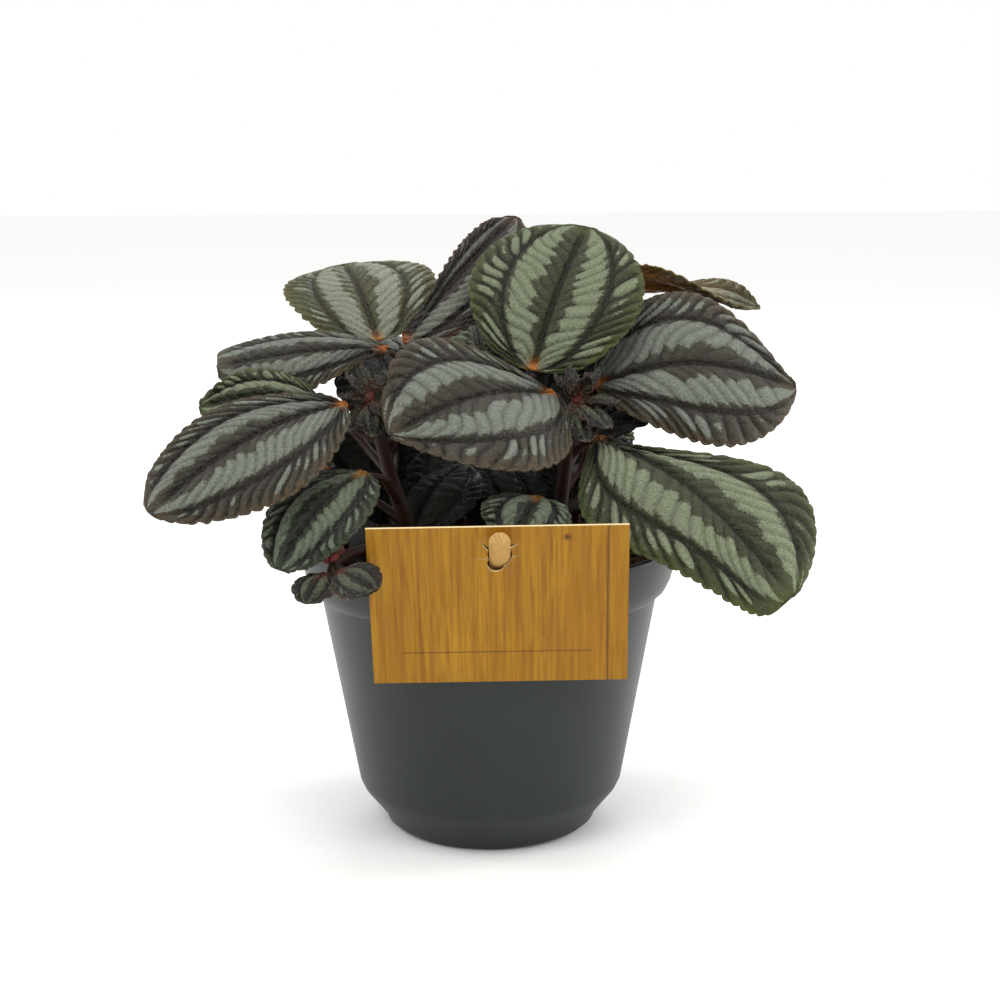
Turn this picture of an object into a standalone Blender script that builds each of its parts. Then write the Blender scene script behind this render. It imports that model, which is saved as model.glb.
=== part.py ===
"""Friendship plant in its nursery pot.

A bushy Pilea with quilted, silver-banded leaves in a round 12 cm nursery pot of soil. A printed card
hangs on the front of the pot, on a wooden peg that is pushed into the soil.
The sizes below are in millimetres and the meshes in metres. The origin is the centre of the pot's base,
on the surface that it stands on. +Z is up and the card faces -Y.
"""

import math
import random
from typing import NamedTuple

import bmesh
import bpy
from mathutils import Vector

MM = 0.001
GAP = 0.3

# The pot is turned. Each profile runs down the outside, as (radius, height).
RIM_RADIUS = 60.0
RIM_HEIGHT = 93.0
WALL = 1.2
LIP = 2.0
FLOOR = 1.6
FOOT_RADIUS = 29.0
STEP_HEIGHT = 76.0
STEP_RADIUS = 53.0
SHOULDER_RADIUS = 57.4
SHOULDER_HEIGHT = 81.0
WALL_FOOT_RADIUS = 42.0
WALL_FOOT_HEIGHT = 15.0
POT_SEGMENTS = 48
DRAIN_HOLES = 8
DRAIN_RING_RADIUS = 21.0
DRAIN_RADIUS = 3.0

SOIL_HEIGHT = 83.0
SOIL_RINGS = (1.0, 0.86, 0.7, 0.5, 0.27)
SOIL_LUMP = 1.4
STEM_CLEARANCE = 0.8

# The card is an A8 sheet that leans on the pot's wall and on its collar.
CARD_WIDTH = 74.0
CARD_LENGTH = 52.0
CARD_THICKNESS = 0.8
CARD_BOTTOM_Y = -52.0
CARD_BOTTOM_Z = 61.4
CARD_CENTRE_X = 3.5
CARD_LEAN = math.radians(17)
CARD_TURN = math.radians(0.75)
# The peg's place on the card. The hole goes round it, with a round bay below it.
PEG_X = 0.5
PEG_UP = 42.8
BAY_X = -1.1
BAY_UP = -2.9
BAY_RADIUS = 2.5
HOLE_HALF_WIDTH = 3.5
HOLE_HALF_HEIGHT = 3.8
HOLE_POINTS = 20

PEG_WIDTH = 6.1
PEG_THICKNESS = 3.4
PEG_RISE = math.radians(37)
PEG_PROUD = 14.0
PEG_BURIED = 36.0
# The peg's end, as the distance back from its tip and the share of its full width there.
PEG_TAPER = ((4.0, 1.0), (1.6, 0.82), (0.0, 0.42))

# A blade: its mesh, and the thickness at the midrib, at the side veins and just inside its edge.
COLUMNS = (-0.8, -0.6, -0.3, 0.0, 0.3, 0.6, 0.8)
YOUNG_COLUMNS = (-0.6, 0.0, 0.6)
SIDE_VEIN = 0.6
THICKNESS = {0.0: 1.0, 0.3: 0.8, 0.6: 0.8, 0.8: 0.7}
TOOTH = 1.05

# A stalk ends under its blade, a little before the blade's base. It bends twice on its way up, and its
# radii are at its start, at the two bends and at its end.
STALK_RADII = (1.45, 1.3, 1.2, 0.95)
STALK_BEND = 0.55
STALK_KNEE = 0.35
UNDER_BLADE = 1.7
BEFORE_BLADE = 0.6

YOUNG = {"bow": 0.8, "curl": (30, 30), "lobe": 0, "puff": 0.3}


class Leaf(NamedTuple):
    """A blade from the end of its stalk to its tip. Pairs are its left and right half, seen from the base.

    Angles are in degrees. leaves_at is the share of the stem's length at which the stalk starts.
    """

    base: tuple
    tip: tuple
    width: tuple = (46, 46)
    bow: float = 6.0
    roll: float = 0.0
    twist: float = 0.0
    fold: tuple = (0, 0)
    curl: tuple = (20, 20)
    widest: tuple = (0.5, 0.5)
    blunt: tuple = (0.5, 0.6, 0.5, 0.6)
    lobe: float = 3.0
    puff: float = 1.2
    stem: str = ""
    leaves_at: float = 1.0
    cells: int = 8


STEMS = {
    "stem_right": [(20, -4, 71, 2.8), (20.3, -4, 88, 2.7), (23, -4, 108, 2.3), (26, -6, 131, 1.9)],
    "stem_left": [(-22, -6, 71, 2.8), (-22.2, -6.3, 88, 2.7), (-29, -9, 110, 2.3), (-35, -11, 134, 1.9)],
    "stem_rear": [(5, 30, 71, 2.8), (5, 30.4, 88, 2.6), (7, 35, 110, 2.3), (8, 38, 132, 1.9)],
    "stem_shoot": [
        (-22, -24, 71, 1.9), (-22.5, -24.5, 86, 1.9), (-30, -32, 95.5, 1.8),
        (-37, -40, 98, 1.6), (-42, -47, 97.5, 1.5), (-45, -53, 96, 1.2),
    ],
}

LEAVES = {
    "leaf_right_back": Leaf(
        (14, 8, 144), (32, 38, 186), (60, 56), bow=4, roll=13, fold=(10, 10), curl=(25, 25),
        widest=(0.55, 0.5), blunt=(0.5, 0.35, 0.5, 0.5), stem="stem_right", leaves_at=0.92,
    ),
    "leaf_right_front": Leaf(
        (33, -10, 126), (87, -60, 88), (58, 57), bow=10, roll=23, fold=(1, -7), curl=(16, 27),
        widest=(0.69, 0.37), blunt=(1.2, 0.68, 1.6, 0.31), lobe=1, stem="stem_right", leaves_at=0.8,
    ),
    "leaf_right_inward": Leaf(
        (20, -6, 139), (-29, -28, 130), (65, 58), bow=7, roll=-33, fold=(5, 10), curl=(20, 22),
        widest=(0.4, 0.62), blunt=(0.5, 0.8, 0.65, 0.55), lobe=0, stem="stem_right", leaves_at=0.98,
    ),
    "leaf_right_outward": Leaf(
        (33.6, 14, 138.4), (96.9, 8, 138), (60, 56), bow=13, roll=48, fold=(5, 5), curl=(25, 25),
        widest=(0.38, 0.6), blunt=(0.55, 0.95, 0.6, 0.6), stem="stem_right", leaves_at=0.96,
    ),
    "leaf_right_low_front": Leaf(
        (15, -34, 112), (8, -52, 103), (26, 28), bow=3, roll=-10, stem="stem_right", leaves_at=0.53,
    ),
    "leaf_right_low_side": Leaf(
        (40, -18, 112), (76, -30, 98), (34, 34), bow=4, stem="stem_right", leaves_at=0.5, cells=6,
    ),
    "leaf_right_rear": Leaf(
        (45, 20, 140), (86, 46, 128), (38, 38), bow=6, stem="stem_right", leaves_at=0.74, cells=6,
    ),
    "leaf_right_low_rear": Leaf(
        (46, 8, 115), (82, 16, 104), (36, 36), bow=5, stem="stem_right", leaves_at=0.55, cells=6,
    ),
    "leaf_right_inside": Leaf(
        (28, 14, 100), (36, 38, 121), (34, 34), bow=4, stem="stem_right", leaves_at=0.44, cells=6,
    ),
    "leaf_left_back": Leaf(
        (-27, 20, 151.5), (9, 66, 188), (15, 34), bow=2, roll=22, fold=(0, 0), curl=(10, 20),
        widest=(0.75, 0.5), blunt=(0.6, 0.4, 0.5, 0.5), lobe=1, stem="stem_left", leaves_at=0.92,
    ),
    "leaf_left_rear": Leaf(
        (-35, 20, 152), (-49, 62, 172), (47, 52), bow=5, roll=-10, fold=(4, 6), curl=(10, 20),
        widest=(0.58, 0.55), blunt=(0.3, 0.35, 0.4, 0.4), lobe=1, stem="stem_left", leaves_at=0.88,
    ),
    "leaf_left_outward": Leaf(
        (-31, 3, 152), (-83, -4, 147.5), (30, 34), bow=2, roll=-27, fold=(-20, 0), curl=(10, 32),
        widest=(0.62, 0.6), blunt=(0.9, 0.4, 0.6, 0.12), stem="stem_left", leaves_at=0.97,
    ),
    "leaf_left_side": Leaf(
        (-51, -14, 137.8), (-86, -22, 137.8), (34, 23), bow=4, roll=-36, curl=(25, 10), lobe=1,
        stem="stem_left", leaves_at=0.85,
    ),
    "leaf_left_front": Leaf(
        (-43, -18, 138), (-97, -52, 112), (48, 36), bow=8, roll=-32, fold=(5, 5), curl=(25, 30),
        widest=(0.52, 0.57), blunt=(0.85, 0.6, 0.7, 0.4), lobe=5, stem="stem_left", leaves_at=0.95,
    ),
    "leaf_left_low": Leaf(
        (-37, -30, 119), (-60, -56, 96), (32, 34), bow=5, roll=-10, blunt=(0.6, 0.5, 0.6, 0.5),
        stem="stem_left", leaves_at=0.6,
    ),
    "leaf_left_inner": Leaf(
        (-19, -2, 139), (4, 7, 144), (28, 28), bow=3, roll=15, stem="stem_left", leaves_at=0.8, cells=6,
    ),
    "leaf_left_low_rear": Leaf(
        (-52, 15, 132), (-90, 34, 120), (36, 36), bow=5, stem="stem_left", leaves_at=0.72, cells=6,
    ),
    "leaf_left_low_side": Leaf(
        (-50, 2, 114), (-80, 10, 102), (34, 34), bow=5, stem="stem_left", leaves_at=0.5, cells=6,
    ),
    "leaf_left_inside": Leaf(
        (-36, 16, 105), (-44, 42, 124), (36, 36), bow=4, stem="stem_left", leaves_at=0.44, cells=6,
    ),
    "leaf_rear_low_middle": Leaf(
        (4, 50, 97), (2, 90, 87), (40, 40), bow=6, stem="stem_rear", leaves_at=0.6, cells=6,
    ),
    "leaf_rear_right": Leaf(
        (40, 46, 167), (88, 32, 160), (30, 26), bow=2, roll=-45, twist=70, fold=(10, 10),
        curl=(-10, -10), blunt=(0.5, 0.8, 0.5, 0.8), stem="stem_rear", leaves_at=0.95,
    ),
    "leaf_rear_out": Leaf(
        (27, 40, 134), (40, 80, 152), (40, 40), bow=5, stem="stem_rear", leaves_at=0.9, cells=6,
    ),
    "leaf_rear_middle": Leaf(
        (-2, 48, 134), (-7, 88, 154), (40, 40), bow=5, stem="stem_rear", leaves_at=0.97, cells=6,
    ),
    "leaf_rear_left": Leaf(
        (-28, 40, 134), (-56, 74, 150), (42, 42), bow=5, stem="stem_rear", leaves_at=0.86, cells=6,
    ),
    "leaf_rear_low_right": Leaf(
        (22, 36, 104), (32, 74, 120), (46, 46), bow=5, stem="stem_rear", leaves_at=0.5, cells=6,
    ),
    "leaf_rear_low_left": Leaf(
        (-16, 38, 102), (-34, 74, 116), (46, 46), bow=5, stem="stem_rear", leaves_at=0.45, cells=6,
    ),
    "leaf_rear_inside": Leaf(
        (-8, 10, 98), (-13, 32, 116), (34, 34), bow=4, stem="stem_rear", leaves_at=0.4, cells=6,
    ),
    "leaf_shoot_left": Leaf(
        (-47, -57, 95), (-51.5, -66, 88.5), (14, 14), bow=1.5, lobe=1, puff=0.5,
        stem="stem_shoot", leaves_at=0.97, cells=6,
    ),
    "leaf_shoot_right": Leaf(
        (-41.8, -63, 97.2), (-30.7, -78, 95.1), (13, 15), bow=1.5, roll=30, lobe=1, puff=0.5,
        stem="stem_shoot", leaves_at=0.95, cells=6,
    ),
}

# The clusters of young leaves at the tops of stems: the middle, the bud's radius, and each leaf as the
# (x, y, z) of its tip and its width.
HEARTS = {
    "heart_right": (
        (27.5, -10.5, 137.5), 3.0,
        [
            (25, -9, 147.5, 7), (34, -8.5, 146.5, 8), (30, -21.5, 127, 8), (36, -22, 130, 11),
            (20.5, -5.5, 145, 5),
        ],
    ),
    "heart_left": (
        (-36, -14, 139), 2.8,
        [
            (-42, -14.5, 145, 8), (-37, -13, 147, 7), (-31.5, -10, 146, 5), (-35, -22.5, 129, 8),
            (-40, -22, 131, 6),
        ],
    ),
}

# The flower buds, as (x, y, z, radius).
BUDS = [
    (-44.5, -53.5, 99.7, 1.8), (-46.5, -55, 99, 1.7), (-42.8, -52.2, 100.8, 1.7), (-45.2, -51.5, 100.8, 1.6),
    (-44, -55.6, 99.8, 1.6),
]

LEAF_COLOUR = "5C665A"
LEAF_COLOURS = {
    "leaf_left_rear": "6A7058",
    "leaf_rear_right": "74563A",
    "leaf_shoot_left": "5E4B40",
    "leaf_shoot_right": "5A4A40",
}


def linear(channel):
    """An sRGB channel from 0 to 1 as the linear value that a shader takes."""
    return channel / 12.92 if channel <= 0.04045 else ((channel + 0.055) / 1.055) ** 2.4


def material(name, colour, roughness):
    made = bpy.data.materials.new(name)
    made.use_nodes = True
    shader = made.node_tree.nodes["Principled BSDF"]
    red, green, blue = (linear(int(colour[at : at + 2], 16) / 255) for at in (0, 2, 4))
    shader.inputs["Base Color"].default_value = (red, green, blue, 1)
    shader.inputs["Roughness"].default_value = roughness
    shader.inputs["Metallic"].default_value = 0.0
    return made


def add_object(name, mesh, finish):
    made = bpy.data.objects.new(name, mesh)
    bpy.context.scene.collection.objects.link(made)
    mesh.materials.clear()
    mesh.materials.append(finish)
    return made


def mesh_of(name, points, faces):
    """A mesh from points in millimetres."""
    made = bpy.data.meshes.new(name)
    made.from_pydata([Vector(point) * MM for point in points], [], faces)
    return made


def blade_frame(leaf):
    """The length of a blade and its directions: along it, out of its upper face, and to its right."""
    base, tip = Vector(leaf.base), Vector(leaf.tip)
    chord = tip - base
    along = chord.normalized()
    up = Vector((0, 0, 1))
    normal = (up - along * up.dot(along)).normalized()
    right = along.cross(normal)
    roll = math.radians(leaf.roll)
    turned = normal * math.cos(roll) + right * math.sin(roll)
    right = right * math.cos(roll) - normal * math.sin(roll)
    return chord.length, along, turned, right


def blade_point(leaf, u, v):
    """The middle of a blade's thickness, u from base to tip and v from -1 at the left edge to 1 at the right."""
    length, along, normal, right = blade_frame(leaf)
    side = 0 if v < 0 else 1
    out = abs(v)
    shift = math.log(0.5) / math.log(leaf.widest[side])
    bluntness = leaf.blunt[2 * side] * (1 - u) + leaf.blunt[2 * side + 1] * u
    half = 0.5 * leaf.width[side] * max(math.sin(math.pi * u**shift), 0) ** bluntness
    fold = math.radians(leaf.fold[side])
    curl = math.radians(leaf.curl[side]) or 1e-4
    bend = fold - curl * out
    across = math.copysign(half * (math.sin(fold) - math.sin(bend)) / curl, v)
    rise = half * (math.cos(bend) - math.cos(fold)) / curl
    twist = math.radians(leaf.twist) * u
    across, rise = (
        across * math.cos(twist) + rise * math.sin(twist),
        rise * math.cos(twist) - across * math.sin(twist),
    )
    swell = max(math.sin(math.pi * u), 0)
    rise += leaf.bow * swell
    rise += leaf.puff * abs(math.sin(math.pi * min(out, 1) / SIDE_VEIN)) * swell**0.5
    back = leaf.lobe * out**1.5 * (1 - u) ** 4 * min(8 * u, 1)
    return Vector(leaf.base) + along * (u * length - back) + normal * rise + right * across


def blade_normal(leaf, u, v):
    """The upper face's direction at a point of a blade."""
    step = 0.01
    along = blade_point(leaf, min(u + step, 1), v) - blade_point(leaf, max(u - step, 0), v)
    right = blade_point(leaf, u, v + step) - blade_point(leaf, u, v - step)
    return right.cross(along).normalized()


def blade_mesh(name, leaf, cells=8, teeth=2, columns=COLUMNS):
    """A toothed blade as one closed mesh, thickest along its midrib and sharp at its edge."""
    rows = [0.5 * at / cells + 0.25 * (1 - math.cos(math.pi * at / cells)) for at in range(cells + 1)]
    points = []

    def add(point):
        points.append(point)
        return len(points) - 1

    base = add(Vector(leaf.base))
    tip = add(blade_point(leaf, 1, 0))
    sheets = []
    for side in (0.5, -0.5):
        sheet = []
        for u in rows[1:-1]:
            row = []
            for v in columns:
                offset = blade_normal(leaf, u, v) * THICKNESS[abs(v)] * side
                row.append(add(blade_point(leaf, u, v) + offset))
            sheet.append(row)
        sheets.append(sheet)
    parts = 2 * teeth
    edges = {}
    for hand in (-1, 1):
        edge = [base]
        for cell in range(cells):
            low, high = rows[cell], rows[cell + 1]
            for part in range(1, parts + 1):
                if cell == cells - 1 and part == parts:
                    break
                out = TOOTH if part % 2 else 1.0
                edge.append(add(blade_point(leaf, low + (high - low) * part / parts, hand * out)))
        edges[hand] = edge + [tip]
    faces = []
    for top, sheet in enumerate(sheets):
        flip = top == 0

        def face(*corners):
            faces.append(corners if flip else corners[::-1])

        for left in range(len(columns) - 1):
            face(base, sheet[0][left + 1], sheet[0][left])
            face(tip, sheet[-1][left], sheet[-1][left + 1])
            for row in range(cells - 2):
                a, b = sheet[row][left], sheet[row][left + 1]
                c, d = sheet[row + 1][left + 1], sheet[row + 1][left]
                face(a, b, c)
                face(a, c, d)
        for hand, column in ((-1, 0), (1, -1)):
            edge = edges[hand]
            for cell in range(cells):
                run = edge[cell * parts : (cell + 1) * parts + 1]
                low = sheet[max(cell - 1, 0)][column]
                high = sheet[min(cell, cells - 2)][column]
                middle = parts // 2 if low != high else parts
                for at in range(parts):
                    inner = low if at < middle else high
                    if hand < 0:
                        face(inner, run[at + 1], run[at])
                    else:
                        face(inner, run[at], run[at + 1])
                if low != high:
                    if hand < 0:
                        face(low, high, run[middle])
                    else:
                        face(high, low, run[middle])
    return mesh_of(name, points, faces)


def smooth_route(route, steps):
    """Points along a curve through the route's points, with their radii. Each is (x, y, z, radius)."""
    ends = [Vector(place) for place in (route[0], *route, route[-1])]
    made = []
    for at in range(1, len(route)):
        before, start, end, after = ends[at - 1 : at + 3]
        for step in range(steps):
            t = step / steps
            bend = (2 * before - 5 * start + 4 * end - after) * t**2
            turn = (3 * start - before - 3 * end + after) * t**3
            made.append(0.5 * (2 * start + (end - before) * t + bend + turn))
    return made + [ends[-1]]


def tube_mesh(name, route, sides=6, steps=3):
    """A closed round tube along a route of (x, y, z, radius)."""
    route = smooth_route(route, steps)
    centres = [place.xyz for place in route]
    points, faces = [], []
    across = Vector((1, 0.3, 0))
    for at, centre in enumerate(centres):
        ahead = centres[min(at + 1, len(centres) - 1)] - centres[max(at - 1, 0)]
        across = (across - ahead * across.dot(ahead) / ahead.length_squared).normalized()
        other = ahead.normalized().cross(across)
        for corner in range(sides):
            angle = 2 * math.pi * corner / sides
            points.append(centre + (across * math.cos(angle) + other * math.sin(angle)) * route[at].w)
    for at in range(len(centres) - 1):
        for corner in range(sides):
            a, b = at * sides + corner, at * sides + (corner + 1) % sides
            faces.append((a, b, b + sides, a + sides))
    faces.append(tuple(reversed(range(sides))))
    faces.append(tuple(range(len(points) - sides, len(points))))
    return mesh_of(name, points, faces)


def ball_mesh(name, centre, radius):
    made = bpy.data.meshes.new(name)
    shape = bmesh.new()
    bmesh.ops.create_icosphere(shape, subdivisions=1, radius=radius * MM)
    bmesh.ops.translate(shape, verts=shape.verts, vec=Vector(centre) * MM)
    shape.to_mesh(made)
    shape.free()
    return made


def stem_point(stem, share):
    """A point on a stem's middle line, at a share of the way from the soil to its top."""
    line = smooth_route(STEMS[stem], 6)
    place = share * (len(line) - 1)
    at = min(int(place), len(line) - 2)
    return line[at].lerp(line[at + 1], place - at).xyz


def stalk_mesh(name, leaf):
    """A leaf's stalk, from the middle of its stem to just under the base of its blade."""
    _, along, normal, _ = blade_frame(leaf)
    start = stem_point(leaf.stem, leaf.leaves_at)
    end = Vector(leaf.base) - normal * UNDER_BLADE - along * BEFORE_BLADE
    rise = (along + normal * 1.2).normalized()
    knee = end - rise * STALK_KNEE * (end - start).length
    route = (start, start.lerp(knee, STALK_BEND), knee, end)
    return tube_mesh(name, [(*point, radius) for point, radius in zip(route, STALK_RADII)], 5, 2)


def make_stem(name, finish):
    """A stem with the stalks of its leaves."""
    pieces = [tube_mesh(name, STEMS[name], 8, 3)]
    for leaf_name, leaf in LEAVES.items():
        if leaf.stem == name:
            pieces.append(stalk_mesh(leaf_name + "_stalk", leaf))
    return fuse(name, pieces, finish)


def make_heart(name, finish):
    """The young leaves at the end of a stem, round a small bud."""
    centre, radius, young = HEARTS[name]
    pieces = [ball_mesh(name, centre, radius)]
    for at, (*tip, width) in enumerate(young):
        leaf = Leaf(centre, tip, (width, width), **YOUNG)
        pieces.append(blade_mesh(f"{name}_{at}", leaf, 4, 1, YOUNG_COLUMNS))
    return fuse(name, pieces, finish)


def fuse(name, meshes, finish):
    """One object that joins several closed meshes."""
    whole = add_object(name, meshes[0], finish)
    others = bpy.data.collections.new(name + "_pieces")
    bpy.context.scene.collection.children.link(others)
    for mesh in meshes[1:]:
        others.objects.link(bpy.data.objects.new(mesh.name, mesh))
    join = whole.modifiers.new("join", "BOOLEAN")
    join.operation = "UNION"
    join.operand_type = "COLLECTION"
    join.collection = others
    join.solver = "EXACT"
    bake(whole)
    for piece in list(others.objects):
        bpy.data.objects.remove(piece)
    bpy.data.collections.remove(others)
    return whole


def bake(thing):
    """Turns an object's modifiers into its mesh."""
    bpy.context.view_layer.update()
    graph = bpy.context.evaluated_depsgraph_get()
    mesh = bpy.data.meshes.new_from_object(thing.evaluated_get(graph))
    thing.modifiers.clear()
    thing.data = mesh


def cut(thing, cutters):
    """Takes each cutter's mesh out of an object."""
    for mesh in cutters:
        tool = bpy.data.objects.new(mesh.name, mesh)
        bpy.context.scene.collection.objects.link(tool)
        modifier = thing.modifiers.new(mesh.name, "BOOLEAN")
        modifier.operation = "DIFFERENCE"
        modifier.object = tool
        modifier.solver = "EXACT"
        bake(thing)
        bpy.data.objects.remove(tool)


def turned(name, profile, finish):
    """A round solid from a closed profile of (radius, height), whose ends stand on the axis."""
    rings, points, faces = [], [], []
    for radius, height in profile:
        if radius < 1e-6:
            points.append((0, 0, height))
            rings.append([len(points) - 1])
            continue
        start = len(points)
        for at in range(POT_SEGMENTS):
            angle = 2 * math.pi * at / POT_SEGMENTS
            points.append((radius * math.cos(angle), radius * math.sin(angle), height))
        rings.append(list(range(start, start + POT_SEGMENTS)))
    for ring, following in zip(rings, rings[1:]):
        for at in range(POT_SEGMENTS):
            after = (at + 1) % POT_SEGMENTS
            if len(ring) == 1:
                faces.append((ring[0], following[at], following[after]))
            elif len(following) == 1:
                faces.append((ring[at], following[0], ring[after]))
            else:
                faces.append((ring[at], following[at], following[after], ring[after]))
    return add_object(name, mesh_of(name, points, faces), finish)


def outer_profile():
    """The outside of the pot, from the rim down to the centre of the base."""
    return [
        (RIM_RADIUS - 0.5, RIM_HEIGHT),
        (RIM_RADIUS, RIM_HEIGHT - 0.6),
        (RIM_RADIUS - 0.2, RIM_HEIGHT - 3),
        (SHOULDER_RADIUS, SHOULDER_HEIGHT),
        (SHOULDER_RADIUS - 1.4, SHOULDER_HEIGHT - 3),
        (STEP_RADIUS + 0.9, STEP_HEIGHT + 0.2),
        (STEP_RADIUS, STEP_HEIGHT - 0.4),
        (WALL_FOOT_RADIUS, WALL_FOOT_HEIGHT),
        (WALL_FOOT_RADIUS - 1.2, WALL_FOOT_HEIGHT - 2.6),
        (34.4, 4.4),
        (33.4, 2.0),
        (31.6, 0.5),
        (FOOT_RADIUS, 0),
        (0, 0),
    ]


def inner_profile(gap=0.0):
    """The inside of the pot below the lip, from the floor up, or the soil's side where a gap is given."""
    floor = FLOOR + gap
    away = WALL + gap
    return [
        (0, floor),
        (FOOT_RADIUS, floor),
        (33.6 - gap, floor + 3.4),
        (WALL_FOOT_RADIUS - 1.4 - away, WALL_FOOT_HEIGHT - 0.6 + gap),
        (STEP_RADIUS - away, STEP_HEIGHT + 0.6),
        (SHOULDER_RADIUS - away - 0.9, SHOULDER_HEIGHT + 0.2),
    ]


def make_pot(finish):
    outer = outer_profile()
    inner = inner_profile()
    lip = [
        (RIM_RADIUS - LIP - 0.2, RIM_HEIGHT - 3.2),
        (RIM_RADIUS - LIP, RIM_HEIGHT - 0.5),
        (RIM_RADIUS - LIP + 0.5, RIM_HEIGHT),
    ]
    pot = turned("pot", inner + lip + outer, finish)
    holes = []
    for at in range(DRAIN_HOLES):
        angle = 2 * math.pi * (at + 0.5) / DRAIN_HOLES
        x, y = DRAIN_RING_RADIUS * math.cos(angle), DRAIN_RING_RADIUS * math.sin(angle)
        holes.append(tube_mesh(f"drain_{at}", [(x, y, -2, DRAIN_RADIUS), (x, y, FLOOR + 2, DRAIN_RADIUS)], 10, 1))
    cut(pot, holes)
    return pot


def make_soil(finish):
    """Soil that fills the pot to under its rim, with a lumpy top and a hole for each stem and the peg."""
    side = inner_profile(GAP)
    edge = side[-1][0]
    top = [(edge * share, SOIL_HEIGHT) for share in SOIL_RINGS] + [(0, SOIL_HEIGHT)]
    soil = turned("soil", side + top, finish)
    lumps = random.Random(7)
    for vertex in soil.data.vertices:
        if vertex.co.z > (SOIL_HEIGHT - 0.1) * MM and vertex.co.length > 1 * MM:
            vertex.co.z += lumps.uniform(-SOIL_LUMP, SOIL_LUMP) * MM
    holes = [peg_mesh("peg_hole", 0.45)]
    for name, route in STEMS.items():
        x, y, z, radius = route[0]
        width = radius + STEM_CLEARANCE
        holes.append(tube_mesh(name + "_hole", [(x, y, z - GAP, width), (x, y, SOIL_HEIGHT + 8, width)], 10, 1))
    cut(soil, holes)
    return soil


def card_place(across, up, out):
    """A point of the card, from the middle of its lower edge, as a point of the plant's frame."""
    turned_across = across * math.cos(CARD_TURN) - up * math.sin(CARD_TURN)
    turned_up = across * math.sin(CARD_TURN) + up * math.cos(CARD_TURN)
    return Vector(
        (
            CARD_CENTRE_X + turned_across,
            CARD_BOTTOM_Y - turned_up * math.sin(CARD_LEAN) - out * math.cos(CARD_LEAN),
            CARD_BOTTOM_Z + turned_up * math.cos(CARD_LEAN) - out * math.sin(CARD_LEAN),
        )
    )


def card_hole():
    """The outline of the card's hole round the peg, with the bay below it."""
    outline = []
    for at in range(HOLE_POINTS):
        angle = 2 * math.pi * (at + 0.5) / HOLE_POINTS
        across, up = math.cos(angle), math.sin(angle)
        reach = 1 / math.hypot(across / HOLE_HALF_WIDTH, up / HOLE_HALF_HEIGHT)
        beside = across * BAY_UP - up * BAY_X
        if abs(beside) < BAY_RADIUS:
            reach = max(reach, across * BAY_X + up * BAY_UP + math.sqrt(BAY_RADIUS**2 - beside**2))
        outline.append((PEG_X + across * reach, PEG_UP + up * reach))
    return outline


def make_card(finish):
    """A flat card, its hole joined to its corners by triangles."""
    half = CARD_WIDTH / 2
    corners = [(half, CARD_LENGTH), (-half, CARD_LENGTH), (-half, 0), (half, 0)]
    outline = corners + card_hole()
    layer = len(outline)
    points = [card_place(across, up, out) for out in (0, CARD_THICKNESS) for across, up in outline]
    faces = []
    for at in range(HOLE_POINTS):
        after = (at + 1) % HOLE_POINTS
        here, there = (index * 4 // HOLE_POINTS for index in (at, after))
        front = [here, 4 + after, 4 + at] if here == there else [here, there, 4 + after, 4 + at]
        faces.append([layer + index for index in front])
        faces.append(front[::-1])
        faces.append([4 + at, 4 + after, layer + 4 + after, layer + 4 + at])
    for at in range(4):
        after = (at + 1) % 4
        faces.append([after, at, layer + at, layer + after])
    mesh = mesh_of("card", points, faces)
    face_out(mesh)
    return add_object("card", mesh, finish)


def face_out(mesh):
    """Turns a closed mesh's faces outwards."""
    shape = bmesh.new()
    shape.from_mesh(mesh)
    bmesh.ops.recalc_face_normals(shape, faces=shape.faces)
    shape.to_mesh(mesh)
    shape.free()


def peg_mesh(name, grow=0.0):
    """The peg as a rounded stick with a blunt point, or its hole where it grows by a gap."""
    middle = card_place(PEG_X, PEG_UP, CARD_THICKNESS / 2)
    ahead = Vector((0, -math.cos(PEG_RISE), math.sin(PEG_RISE)))
    over = Vector((0, math.sin(PEG_RISE), math.cos(PEG_RISE)))
    width, depth = PEG_WIDTH / 2 + grow, PEG_THICKNESS / 2 + grow
    stations = [(-PEG_BURIED - grow, 1.0)] + [(PEG_PROUD - back, scale) for back, scale in PEG_TAPER]
    sides = 12
    points, faces = [], []
    for along, scale in stations:
        for at in range(sides):
            angle = 2 * math.pi * at / sides
            side = Vector((math.cos(angle) * width * scale, 0, 0))
            points.append(middle + ahead * along + side + over * math.sin(angle) * depth * scale)
    for ring in range(len(stations) - 1):
        for at in range(sides):
            a, b = ring * sides + at, ring * sides + (at + 1) % sides
            faces.append((a, b, b + sides, a + sides))
    faces.append(tuple(reversed(range(sides))))
    faces.append(tuple(range(len(points) - sides, len(points))))
    made = mesh_of(name, points, faces)
    face_out(made)
    return made


def make_buds(finish):
    """The red flower buds at the end of the side shoot."""
    pieces = [ball_mesh(f"bud_{at}", place, radius) for at, (*place, radius) in enumerate(BUDS)]
    return fuse("shoot_buds", pieces, finish)


def main():
    for thing in list(bpy.data.objects):
        bpy.data.objects.remove(thing)
    make_pot(material("pot_plastic", "4A504F", 0.42))
    make_soil(material("soil", "2A211A", 0.95))
    make_card(material("printed_card", "C08A32", 0.55))
    add_object("peg", peg_mesh("peg"), material("peg_wood", "D8B98A", 0.6))
    for name in STEMS:
        make_stem(name, material(name, "6A2A1C", 0.6))
    for name in HEARTS:
        make_heart(name, material(name, "7C8A72", 0.6))
    make_buds(material("shoot_buds", "A8383A", 0.6))
    for name, leaf in LEAVES.items():
        finish = material(name, LEAF_COLOURS.get(name, LEAF_COLOUR), 0.5)
        add_object(name, blade_mesh(name, leaf, leaf.cells), finish)


main()
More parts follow.
